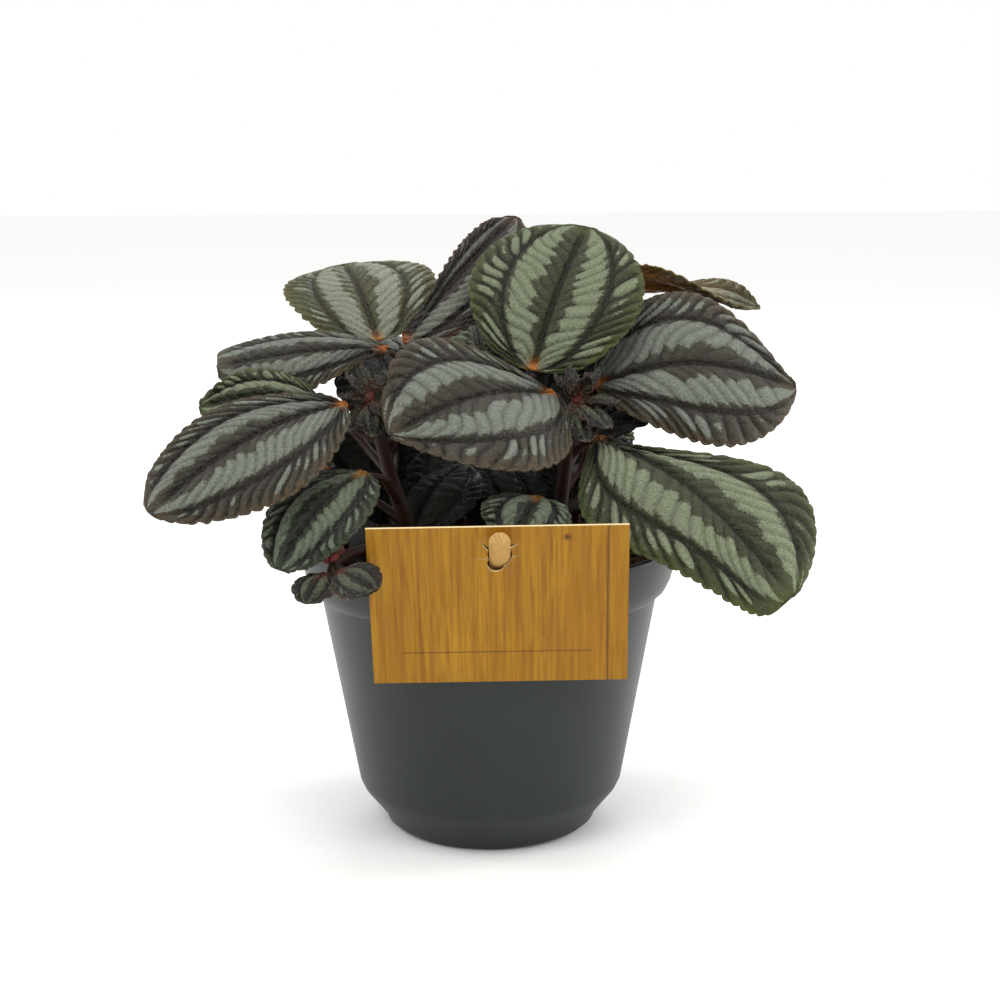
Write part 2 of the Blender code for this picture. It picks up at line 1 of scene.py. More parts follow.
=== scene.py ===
"""The looks of a friendship plant in its nursery pot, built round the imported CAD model.

The tables are in millimetres and in the plant's own frame, as in the CAD: the origin is the centre of the
pot's base, +Z is up and the card faces -Y. A point becomes metres when it goes into a mesh.
"""

import math
from typing import NamedTuple

import bpy
import numpy as np
from bpy.props import FloatProperty, FloatVectorProperty, IntProperty, PointerProperty
from mathutils import Matrix, Vector, noise


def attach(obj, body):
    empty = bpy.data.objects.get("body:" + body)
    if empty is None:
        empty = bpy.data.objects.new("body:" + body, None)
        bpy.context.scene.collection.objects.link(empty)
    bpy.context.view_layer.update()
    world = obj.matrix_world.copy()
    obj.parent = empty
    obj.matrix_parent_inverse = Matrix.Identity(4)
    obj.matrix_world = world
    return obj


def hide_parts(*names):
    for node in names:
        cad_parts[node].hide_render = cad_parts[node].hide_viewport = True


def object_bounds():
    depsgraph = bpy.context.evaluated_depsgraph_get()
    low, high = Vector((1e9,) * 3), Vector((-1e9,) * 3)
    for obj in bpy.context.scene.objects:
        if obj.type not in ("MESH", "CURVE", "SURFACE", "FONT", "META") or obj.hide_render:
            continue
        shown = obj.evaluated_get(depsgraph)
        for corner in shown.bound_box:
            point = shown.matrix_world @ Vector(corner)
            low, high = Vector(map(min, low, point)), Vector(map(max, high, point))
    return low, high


bl_info = {
    "name": "Friendship Plant in a Pot",
    "version": (1, 0, 0),
    "blender": (4, 5, 0),
    "location": "3D View > Sidebar > Plant",
    "description": "Builds the leaves, pot, soil, card and peg of a potted friendship plant",
    "category": "Object",
}

MM = 0.001
BODY = "root"

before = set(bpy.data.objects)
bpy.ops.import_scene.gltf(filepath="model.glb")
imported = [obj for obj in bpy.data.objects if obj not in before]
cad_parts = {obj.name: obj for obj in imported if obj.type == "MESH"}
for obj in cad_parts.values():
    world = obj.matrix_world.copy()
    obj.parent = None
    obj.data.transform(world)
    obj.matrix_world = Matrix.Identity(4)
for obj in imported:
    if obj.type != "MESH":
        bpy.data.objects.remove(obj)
CAD_BOX = [list(corner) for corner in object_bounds()]
CAD_LOW, CAD_HIGH = (np.array(corner) / MM for corner in CAD_BOX)

# The pot's outside and inside, as (radius, height).
OUTSIDE = [
    (59.5, 93), (60, 92.4), (59.8, 90), (57.4, 81), (56, 78), (53.9, 76.2), (53, 75.6),
    (42, 15), (40.8, 12.4), (34.4, 4.4), (33.4, 2), (31.6, 0.5), (29, 0), (0, 0),
]
INSIDE = [
    (0, 1.6), (29, 1.6), (33.6, 5), (39.4, 14.4), (51.8, 76.6), (55.3, 81.2), (57.8, 89.8),
    (58, 92.5), (58.5, 93),
]
DRAIN_HOLES = 8
DRAIN_RING = 21.0
DRAIN_RADIUS = 3.0

SOIL_TOP = 83.0
SOIL_SIDE = [(29, 1.9), (33.3, 5.3), (39.1, 14.7), (51.5, 76.9), (55.0, 81.5)]
CRUMBS = 420

# The card's lower edge, its lean back and its turn, and where the peg goes through it.
CARD_ORIGIN = (3.5, -52.0, 61.4)
CARD_LEAN = math.radians(17)
CARD_TURN = math.radians(0.75)
PEG_ON_CARD = (0.5, 42.8)
HOLE_HALF = (3.5, 3.8)
BAY = (-1.1, -2.9, 2.5)
# Cuts that run out from the hole: where each starts and ends on the card, and its width at the hole.
CARD_SLITS = [
    ((-2.2, 44.2), (-5.6, 48.0), 1.1),
    ((2.6, 42.0), (7.6, 42.6), 0.8),
    ((3.4, 45.6), (6.4, 46.6), 1.2),
    ((-3.2, 41.6), (-8.0, 41.6), 0.5),
    ((-1.6, 38.6), (-4.4, 36.0), 0.5),
    ((2.0, 39.6), (4.4, 36.8), 0.5),
]

PEG_RISE = math.radians(37)
PEG_BURIED = 36.0
PEG_PROUD = 14.0

# The peg's end is cut by planes, each this far back from its tip and with this normal in the peg's frame.
PEG_CUTS = [
    (0.2, (0.0, -0.8, 0.6)),
    (1.4, (0.0, 0.5, 0.87)),
    (0.9, (0.75, 0.0, 0.66)),
    (0.9, (-0.75, 0.0, 0.66)),
]

# The joints between printed planks, as (place across the card, half width, strength), in millimetres.
PLANK_JOINTS = [(31.9, 0.55, 1.5), (14.2, 0.4, 0.6), (-22.0, 0.4, 0.5)]
KNOT_PLACE = (19.6, 48.4)
# The printed rule's height on the card, its middle, half its length and its width.
RULE_UP = 10.4
RULE_CENTRE = -0.9
RULE_HALF = 27.4
RULE_WIDTH = 0.32

LIGHTS_AIM = (0, 0, 0.1)
SKY_STRENGTH = 0.5
# Each light's place, size and power in metres and watts.
LIGHTS = [
    ("key", (-0.5, -0.75, 0.95), (0.7, 0.7), 5.0),
    ("fill", (0.8, -0.6, 0.6), (0.6, 0.9), 3.0),
    ("left_edge", (-0.9, 0.15, 0.35), (0.3, 1.0), 3.5),
    ("right_edge", (0.9, 0.2, 0.35), (0.3, 1.0), 5.0),
    ("back", (0.2, 1.0, 0.8), (0.8, 0.8), 3.5),
]
# The light from overhead reaches the whole floor evenly. Its strength is in watts a square metre.
OVERHEAD = 1.5
OVERHEAD_ANGLE = math.radians(70)

CAMERA_PLACE = (3.6, -600.0, 232.0)
CAMERA_PITCH = 0.21
CAMERA_ROLL = -0.006
CAMERA_LENS = 70.3

# The stems' middle lines as (x, y, z, radius).
STEMS = {
    "stem_right": [(20, -4, 71, 2.8), (20.3, -4, 88, 2.7), (23, -4, 108, 2.3), (26, -6, 131, 1.9)],
    "stem_left": [(-22, -6, 71, 2.8), (-22.2, -6.3, 88, 2.7), (-29, -9, 110, 2.3), (-35, -11, 134, 1.9)],
    "stem_rear": [(5, 30, 71, 2.8), (5, 30.4, 88, 2.6), (7, 35, 110, 2.3), (8, 38, 132, 1.9)],
    "stem_shoot": [
        (-22, -24, 71, 1.9), (-22.5, -24.5, 86, 1.9), (-30, -32, 95.5, 1.8),
        (-37, -40, 98, 1.6), (-42, -47, 97.5, 1.5), (-45, -53, 96, 1.2),
    ],
}
STALK_RADII = (1.45, 1.3, 1.2, 0.95)
STALK_BEND = 0.55
STALK_KNEE = 0.35
UNDER_BLADE = 1.7
BEFORE_BLADE = 0.6

# A blade's columns crowd together at its veins and margin, by this share.
CROWDING = 0.5
# The side veins run beside the midrib at this share of the half width. Ribs lean towards the tip, by a
# share of the blade's length between the midrib and the side vein and by another one outside it.
SIDE_VEIN = 0.6
INNER_LEAN = 0.2
OUTER_LEAN = 0.2
RIB_SHIFT = 16
# The teeth of a margin are this far apart on the way along the blade.
TOOTH_PITCH = 3.0

# How deep the pillows between veins and the veins' own grooves are, inside and outside the side vein.
INNER_PILLOW = 0.8
OUTER_PILLOW = 1.4
MIDRIB_DEPTH = 0.9
SIDE_VEIN_DEPTH = 0.8
# The dull flecks in a silver band against its colour.
DULL_SILVER = 0.62

HAIR_RADIUS = 0.032
HAIR_SUNK = 0.15
HAIRS_ON_YOUNG_LEAF = 60
HAIRS_ROUND_STALK = 4

# How far inside the CAD model's box the blades and the hairs stay.
BLADE_MARGIN = 0.6
HAIR_MARGIN = 0.2

# Grid cells across and along a blade, by how closely it is seen.
NEAR = (120, 210)
MIDDLE = (72, 128)
FAR = (44, 76)
SMALL = (32, 48)
# Hairs on a blade's edge, by its grid.
EDGE_HAIRS = {NEAR: 260, MIDDLE: 120, SMALL: 120, FAR: 0}


class Leaf(NamedTuple):
    """A blade from the end of its stalk to its tip. Pairs are its left and right half, seen from the base.

    Angles are in degrees, and leaves_at is the share of the stem's length at which the stalk starts. The
    stalk's orange runs as far into the blade as orange says, in millimetres.
    """

    base: tuple
    tip: tuple
    width: tuple = (46, 46)
    bow: float = 6.0
    roll: float = 0.0
    twist: float = 0.0
    fold: tuple = (0, 0)
    curl: tuple = (20, 20)
    widest: tuple = (0.5, 0.5)
    blunt: tuple = (0.5, 0.6, 0.5, 0.6)
    lobe: float = 3.0
    puff: float = 1.2
    stem: str = ""
    leaves_at: float = 1.0
    tone: str = "ripe"
    orange: float = 3.0
    grid: tuple = FAR
    ribs: int = 20


# Leaves in the near-black tone have the shade deep in the bush painted into their colour.
LEAVES = {
    "leaf_right_back": Leaf(
        (14, 8, 144), (32, 38, 186), (60, 56), bow=4, roll=13, fold=(10, 10), curl=(25, 25),
        widest=(0.55, 0.5), blunt=(0.5, 0.35, 0.5, 0.5), stem="stem_right", leaves_at=0.92, grid=NEAR,
        ribs=13,
    ),
    "leaf_right_front": Leaf(
        (33, -10, 126), (87, -60, 88), (58, 57), bow=10, roll=23, fold=(1, -7), curl=(16, 27),
        widest=(0.69, 0.37), blunt=(1.2, 0.68, 1.6, 0.31), lobe=1, stem="stem_right", leaves_at=0.8,
        grid=NEAR, ribs=15,
    ),
    "leaf_right_inward": Leaf(
        (20, -6, 139), (-29, -28, 130), (65, 58), bow=7, roll=-33, fold=(5, 10), curl=(20, 22),
        widest=(0.4, 0.62), blunt=(0.5, 0.8, 0.65, 0.55), lobe=0, stem="stem_right", leaves_at=0.98,
        tone="bronze", grid=NEAR, ribs=13,
    ),
    "leaf_right_outward": Leaf(
        (33.6, 14, 138.4), (96.9, 8, 138), (60, 56), bow=13, roll=48, fold=(5, 5), curl=(25, 25),
        widest=(0.38, 0.6), blunt=(0.55, 0.95, 0.6, 0.6), stem="stem_right", leaves_at=0.96,
        tone="bronze", grid=NEAR, ribs=13,
    ),
    "leaf_right_low_front": Leaf(
        (15, -34, 112), (8, -52, 103), (26, 28), bow=3, roll=-10, stem="stem_right", leaves_at=0.53,
        tone="low", grid=MIDDLE, ribs=8,
    ),
    "leaf_right_low_side": Leaf(
        (40, -18, 112), (76, -30, 98), (34, 34), bow=4, stem="stem_right", leaves_at=0.5, tone="painted_shade",
        ribs=10,
    ),
    "leaf_right_rear": Leaf(
        (45, 20, 140), (86, 46, 128), (38, 38), bow=6, stem="stem_right", leaves_at=0.74, tone="bronze",
        grid=MIDDLE, ribs=12,
    ),
    "leaf_right_low_rear": Leaf(
        (46, 8, 115), (82, 16, 104), (36, 36), bow=5, stem="stem_right", leaves_at=0.55, tone="bronze",
        ribs=11,
    ),
    "leaf_right_inside": Leaf(
        (28, 14, 100), (36, 38, 121), (34, 34), bow=4, stem="stem_right", leaves_at=0.44, tone="painted_shade",
        ribs=9,
    ),
    "leaf_left_back": Leaf(
        (-27, 20, 151.5), (9, 66, 188), (15, 34), bow=2, roll=22, fold=(0, 0), curl=(10, 20),
        widest=(0.75, 0.5), blunt=(0.6, 0.4, 0.5, 0.5), lobe=1, stem="stem_left", leaves_at=0.92,
        tone="purple", grid=MIDDLE, ribs=15,
    ),
    "leaf_left_rear": Leaf(
        (-35, 20, 152), (-49, 62, 172), (47, 52), bow=5, roll=-10, fold=(4, 6), curl=(10, 20),
        widest=(0.58, 0.55), blunt=(0.3, 0.35, 0.4, 0.4), lobe=1, stem="stem_left", leaves_at=0.88,
        tone="pale", grid=MIDDLE, ribs=12,
    ),
    "leaf_left_outward": Leaf(
        (-31, 3, 152), (-83, -4, 147.5), (30, 34), bow=2, roll=-27, fold=(-20, 0), curl=(10, 32),
        widest=(0.62, 0.6), blunt=(0.9, 0.4, 0.6, 0.12), stem="stem_left", leaves_at=0.97,
        tone="bronze", grid=MIDDLE, ribs=14,
    ),
    "leaf_left_side": Leaf(
        (-51, -14, 137.8), (-86, -22, 137.8), (34, 23), bow=4, roll=-36, curl=(25, 10), lobe=1,
        stem="stem_left", leaves_at=0.85, grid=MIDDLE, ribs=10,
    ),
    "leaf_left_front": Leaf(
        (-43, -18, 138), (-97, -52, 112), (48, 36), bow=8, roll=-32, fold=(5, 5), curl=(25, 30),
        widest=(0.52, 0.57), blunt=(0.85, 0.6, 0.7, 0.4), lobe=5, stem="stem_left", leaves_at=0.95,
        tone="bronze", grid=NEAR, ribs=16,
    ),
    "leaf_left_low": Leaf(
        (-37, -30, 119), (-60, -56, 96), (32, 34), bow=5, roll=-10, blunt=(0.6, 0.5, 0.6, 0.5),
        stem="stem_left", leaves_at=0.6, tone="low", grid=MIDDLE, ribs=11,
    ),
    "leaf_left_inner": Leaf(
        (-19, -2, 139), (4, 7, 144), (28, 28), bow=3, roll=15, stem="stem_left", leaves_at=0.8,
        tone="painted_shade", grid=MIDDLE, ribs=8,
    ),
    "leaf_left_low_rear": Leaf(
        (-52, 15, 132), (-90, 34, 120), (36, 36), bow=5, stem="stem_left", leaves_at=0.72,
        tone="low", grid=MIDDLE, ribs=11,
    ),
    "leaf_left_low_side": Leaf(
        (-50, 2, 114), (-80, 10, 102), (34, 34), bow=5, stem="stem_left", leaves_at=0.5, tone="bronze",
        ribs=10,
    ),
    "leaf_left_inside": Leaf(
        (-36, 16, 105), (-44, 42, 124), (36, 36), bow=4, stem="stem_left", leaves_at=0.44,
        tone="painted_shade", ribs=9,
    ),
    "leaf_rear_low_middle": Leaf(
        (4, 50, 97), (2, 90, 87), (40, 40), bow=6, stem="stem_rear", leaves_at=0.6, tone="low", grid=MIDDLE,
        ribs=11,
    ),
    "leaf_rear_right": Leaf(
        (40, 46, 167), (88, 32, 160), (30, 26), bow=2, roll=-45, twist=70, fold=(10, 10),
        curl=(-10, -10), blunt=(0.5, 0.8, 0.5, 0.8), stem="stem_rear", leaves_at=0.95, tone="pale", orange=26,
        grid=MIDDLE, ribs=12,
    ),
    "leaf_rear_out": Leaf(
        (27, 40, 134), (40, 80, 152), (40, 40), bow=5, stem="stem_rear", leaves_at=0.9,
        tone="bronze", grid=MIDDLE, ribs=12,
    ),
    "leaf_rear_middle": Leaf(
        (-2, 48, 134), (-7, 88, 154), (40, 40), bow=5, stem="stem_rear", leaves_at=0.97, grid=MIDDLE,
        ribs=12,
    ),
    "leaf_rear_left": Leaf(
        (-28, 40, 134), (-56, 74, 150), (42, 42), bow=5, stem="stem_rear", leaves_at=0.86,
        tone="bronze", grid=MIDDLE, ribs=12,
    ),
    "leaf_rear_low_right": Leaf(
        (22, 36, 104), (32, 74, 120), (46, 46), bow=5, stem="stem_rear", leaves_at=0.5, grid=MIDDLE,
        ribs=12,
    ),
    "leaf_rear_low_left": Leaf(
        (-16, 38, 102), (-34, 74, 116), (46, 46), bow=5, stem="stem_rear", leaves_at=0.45,
        tone="bronze", grid=MIDDLE, ribs=12,
    ),
    "leaf_rear_inside": Leaf(
        (-8, 10, 98), (-13, 32, 116), (34, 34), bow=4, stem="stem_rear", leaves_at=0.4, tone="painted_shade",
        ribs=8,
    ),
    "leaf_shoot_left": Leaf(
        (-47, -57, 95), (-51.5, -66, 88.5), (14, 14), bow=1.5, lobe=1, puff=0.5, stem="stem_shoot",
        leaves_at=0.97, tone="young", grid=SMALL, ribs=7,
    ),
    "leaf_shoot_right": Leaf(
        (-41.8, -63, 97.2), (-30.7, -78, 95.1), (13, 15), bow=1.5, roll=30, lobe=1, puff=0.5,
        stem="stem_shoot", leaves_at=0.95, tone="young", grid=SMALL, ribs=8,
    ),
}

# Leaves deep in the bush that only close the view through it. Their near-black colour is painted shade.
# Each is (name, base, tip, width, stem, leaves_at, ribs).
INNER_LEAVES = {
    name: Leaf(base, tip, (width, width), bow=4, stem=stem, leaves_at=share, tone="painted_shade", ribs=ribs)
    for name, base, tip, width, stem, share, ribs in [
        ("inner_right", (28, 28, 124), (41, 42, 160), 30, "stem_right", 0.7, 9),
        ("inner_under", (9, 14, 128), (18, 32, 157), 34, "stem_rear", 0.7, 9),
        ("inner_side", (32, 14, 122), (64, 26, 136), 40, "stem_right", 0.65, 9),
        ("inner_heart", (-29, 4, 126), (-36, 22, 150), 34, "stem_left", 0.7, 9),
        ("inner_low", (-24, 14, 92), (-34, 38, 113), 38, "stem_left", 0.25, 8),
        ("inner_middle", (15, 10, 95), (3, 34, 113), 34, "stem_right", 0.35, 8),
        ("inner_left", (-46, 24, 98), (-58, 44, 120), 34, "stem_left", 0.35, 8),
        ("inner_front", (-24, -2, 94), (-8, 18, 112), 34, "stem_left", 0.3, 8),
        ("inner_back", (-18, 28, 120), (-20, 56, 140), 34, "stem_rear", 0.7, 9),
    ]
}

# The young leaves at the tops of stems: the middle, the bud's radius, and each leaf as (x, y, z, width).
HEARTS = {
    "heart_right": (
        (27.5, -10.5, 137.5), 3.0,
        [
            (25, -9, 148, 9), (34, -8.5, 147, 10), (30, -22.5, 126.5, 11), (37, -21, 130.5, 12),
            (20.5, -6.5, 145, 7), (23.5, -19.5, 128.5, 10), (40.5, -13, 137.5, 9), (30, -14, 146, 7),
        ],
    ),
    "heart_left": (
        (-36, -14, 139), 2.8,
        [
            (-43, -14.5, 147, 10), (-38, -13, 149, 9), (-31, -10, 147, 7), (-34, -23, 128.5, 10),
            (-41, -21, 130, 9), (-29, -19, 133, 8), (-45, -17, 140, 8),
        ],
    ),
}

# The flower buds, as (x, y, z, radius).
BUDS = [
    (-44.5, -53.5, 99.7, 1.8), (-46.5, -55, 99, 1.7), (-42.8, -52.2, 100.8, 1.7), (-45.2, -51.5, 100.8, 1.6),
    (-44, -55.6, 99.8, 1.6),
]

# A leaf's colours: the ground between its bands, a second ground that it drifts to, its silver bands, its
# margin, its veins and the shade painted into its hollows, and the spot where its stalk joins.
TONES = {
    "ripe": ("33391F", "2D3016", "7C8468", "4B5420", "0E0E06", "A8621E"),
    "bronze": ("36342A", "2F2A1E", "767B70", "4E3C20", "130C06", "A8621E"),
    # This tone is near black: the shade deep in the bush is painted into its colours.
    "painted_shade": ("12110A", "0F0C07", "24271D", "17180C", "070503", "3A1A0C"),
    "low": ("2A3025", "23281A", "68705C", "384224", "10120B", "8A5A1E"),
    "pale": ("464A2E", "3E3F20", "868C78", "5A5226", "1E160A", "8E5A1E"),
    "purple": ("312B27", "2A1E1A", "72766A", "4E2E1A", "110905", "8A4A1E"),
    "young": ("262A1E", "261C12", "636A52", "42241A", "0C0704", "4A1A0E"),
}
UNDERSIDE = "7A4318"


def linear(code):
    """An sRGB hex colour as the linear (r, g, b, 1) that a shader takes."""
    channels = [int(code[at : at + 2], 16) / 255 for at in (0, 2, 4)]
    return (*(c / 12.92 if c <= 0.04045 else ((c + 0.055) / 1.055) ** 2.4 for c in channels), 1.0)


def add_node(tree, kind, settings, out=0):
    """Adds a node and gives back one of its outputs. A setting is a property by its name, or an input by its
    name or number: an output that is given for an input is linked to it, and any other value is set on it.

    A colour Mix has its share at input 0, its colours at inputs 6 and 7 and its result at output 2."""
    node = tree.nodes.new("ShaderNode" + kind)
    for key, value in settings.items():
        if isinstance(key, str) and key in node.bl_rna.properties:
            setattr(node, key, value)
        elif isinstance(value, bpy.types.NodeSocket):
            tree.links.new(value, node.inputs[key])
        else:
            node.inputs[key].default_value = value
    return node.outputs[out]


def new_material(name, settings):
    """A material with a principled shader. The settings are for the shader's own sockets."""
    made = bpy.data.materials.new(name)
    made.use_nodes = True
    tree = made.node_tree
    shader = tree.nodes["Principled BSDF"]
    for key, value in settings.items():
        shader.inputs[key].default_value = value
    return made, tree, shader


def only(piece):
    """Makes a piece the one selected and active object."""
    bpy.ops.object.select_all(action="DESELECT")
    piece.select_set(True)
    bpy.context.view_layer.objects.active = piece


def apply_modifier(piece, kind, settings):
    """Adds a modifier with these settings and applies it."""
    only(piece)
    bpy.ops.object.modifier_add(type=kind)
    modifier = piece.modifiers[-1]
    for key, value in settings.items():
        setattr(modifier, key, value)
    bpy.ops.object.modifier_apply(modifier=modifier.name)


def cut_out(piece, cutter):
    """Takes a cutter's shape out of a piece and deletes the cutter."""
    apply_modifier(piece, "BOOLEAN", {"operation": "DIFFERENCE", "solver": "EXACT", "object": cutter})
    bpy.data.objects.remove(cutter)


def join(pieces, name):
    """Joins pieces into one."""
    only(pieces[0])
    for piece in pieces:
        piece.select_set(True)
    bpy.ops.object.join()
    pieces[0].name = name
    return pieces[0]


def mesh_piece(name, points, faces):
    """A piece from points in millimetres."""
    mesh = bpy.data.meshes.new(name)
    mesh.from_pydata([Vector(point) * MM for point in points], [], faces)
    made = bpy.data.objects.new(name, mesh)
    bpy.context.scene.collection.objects.link(made)
    return made


def finish_piece(piece, nodes, materials):
    """Gives a piece its materials and puts it on the plant in place of its CAD nodes."""
    piece.data.materials.clear()
    for made in materials:
        piece.data.materials.append(made)
    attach(piece, BODY)
    if nodes:
        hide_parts(*nodes)


def spun(name, profile, steps):
    """A round piece from a profile of (radius, height) in millimetres that starts and ends on the axis."""
    bpy.ops.object.select_all(action="DESELECT")
    bpy.ops.mesh.primitive_circle_add(vertices=len(profile), fill_type="NOTHING")
    piece = bpy.context.object
    piece.name = name
    for vertex, (radius, height) in zip(piece.data.vertices, profile):
        vertex.co = (radius * MM, 0, height * MM)
    ends = {0, len(profile) - 1}
    bpy.ops.object.mode_set(mode="EDIT")
    bpy.ops.mesh.select_all(action="DESELECT")
    bpy.ops.object.mode_set(mode="OBJECT")
    for edge in piece.data.edges:
        edge.select = set(edge.vertices) == ends
    bpy.ops.object.mode_set(mode="EDIT")
    bpy.ops.mesh.delete(type="EDGE_FACE")
    bpy.ops.mesh.select_all(action="SELECT")
    bpy.ops.mesh.spin(steps=steps, angle=2 * math.pi, center=(0, 0, 0), axis=(0, 0, 1))
    bpy.ops.mesh.select_all(action="SELECT")
    bpy.ops.mesh.remove_doubles(threshold=1e-6)
    bpy.ops.mesh.normals_make_consistent(inside=False)
    bpy.ops.object.mode_set(mode="OBJECT")
    bpy.ops.object.shade_smooth()
    return piece


# The shape of a leaf


def blade_frame(leaf):
    """The length of a blade and its directions: along it, out of its upper face, and to its right."""
    base, tip = Vector(leaf.base), Vector(leaf.tip)
    chord = tip - base
    along = chord.normalized()
    up = Vector((0, 0, 1))
    normal = (up - along * up.dot(along)).normalized()
    right = along.cross(normal)
    roll = math.radians(leaf.roll)
    turned = normal * math.cos(roll) + right * math.sin(roll)
    right = right * math.cos(roll) - normal * math.sin(roll)
    return chord.length, along, turned, right


def half_width(leaf, u, v):
    """Half the blade's width in millimetres on the side that v lies on."""
    side = (v >= 0).astype(int)
    shift = math.log(0.5) / np.log(np.array(leaf.widest)[side])
    blunt = np.array(leaf.blunt)
    bluntness = blunt[2 * side] * (1 - u) + blunt[2 * side + 1] * u
    swell = np.maximum(np.sin(np.pi * u**shift), 0)
    return 0.5 * np.array(leaf.width)[side] * swell**bluntness


def blade_points(leaf, u, v):
    """The middle of a blade's thickness for arrays of u, from base to tip, and v, from -1 to 1 across."""
    length, along, normal, right = (np.array(part) for part in blade_frame(leaf))
    side = (v >= 0).astype(int)
    out = np.abs(v)
    half = half_width(leaf, u, v)
    fold = np.radians(np.array(leaf.fold, float))[side]
    curl = np.radians(np.array(leaf.curl, float))[side]
    bend = fold - curl * out
    across = np.sign(v) * half * (np.sin(fold) - np.sin(bend)) / curl
    rise = half * (np.cos(bend) - np.cos(fold)) / curl
    twist = math.radians(leaf.twist) * u
    across, rise = (
        across * np.cos(twist) + rise * np.sin(twist),
        rise * np.cos(twist) - across * np.sin(twist),
    )
    swell = np.maximum(np.sin(np.pi * u), 0)
    rise = rise + leaf.bow * swell
    rise = rise + leaf.puff * np.abs(np.sin(np.pi * np.minimum(out, 1) / SIDE_VEIN)) * swell**0.5
    back = leaf.lobe * out**1.5 * (1 - u) ** 4 * np.minimum(8 * u, 1)
    places = np.array(leaf.base) + np.outer(u * length - back, along)
    return places + np.outer(rise, normal) + np.outer(across, right)


def blade_normals(leaf, u, v):
    """The upper face's directions at arrays of places on a blade."""
    step = 0.01
    inner = np.clip(u, 0.02, 0.98)
    ahead = blade_points(leaf, inner + step, v) - blade_points(leaf, inner - step, v)
    aside = blade_points(leaf, inner, v + step) - blade_points(leaf, inner, v - step)
    made = np.cross(aside, ahead)
    return made / np.linalg.norm(made, axis=1)[:, None]


def smooth_step(low, high, value):
    share = np.clip((value - low) / (high - low), 0, 1)
    return share * share * (3 - 2 * share)


def rib_count(leaf, u, v, sway):
    """Counts the ribs up to a place on a blade. A rib's groove is where the count is whole."""
    out = np.abs(v)
    inner = INNER_LEAN * np.minimum(out, SIDE_VEIN) / SIDE_VEIN
    outer = OUTER_LEAN * np.maximum(out - SIDE_VEIN, 0) / (1 - SIDE_VEIN)
    lean = inner + outer * (1 - 0.5 * u)
    waver = 0.4 * np.sin(5 * u + 3 * v + sway) + 0.28 * np.sin(12 * u - 7 * v + 2 * sway)
    return leaf.ribs * (u - lean) + waver + RIB_SHIFT


class Marks(NamedTuple):
    """What shows at each place on a blade's upper face."""

    relief: np.ndarray
    silver: np.ndarray
    vein_and_shade: np.ndarray
    edge: np.ndarray
    stalk: np.ndarray
    scallop: np.ndarray


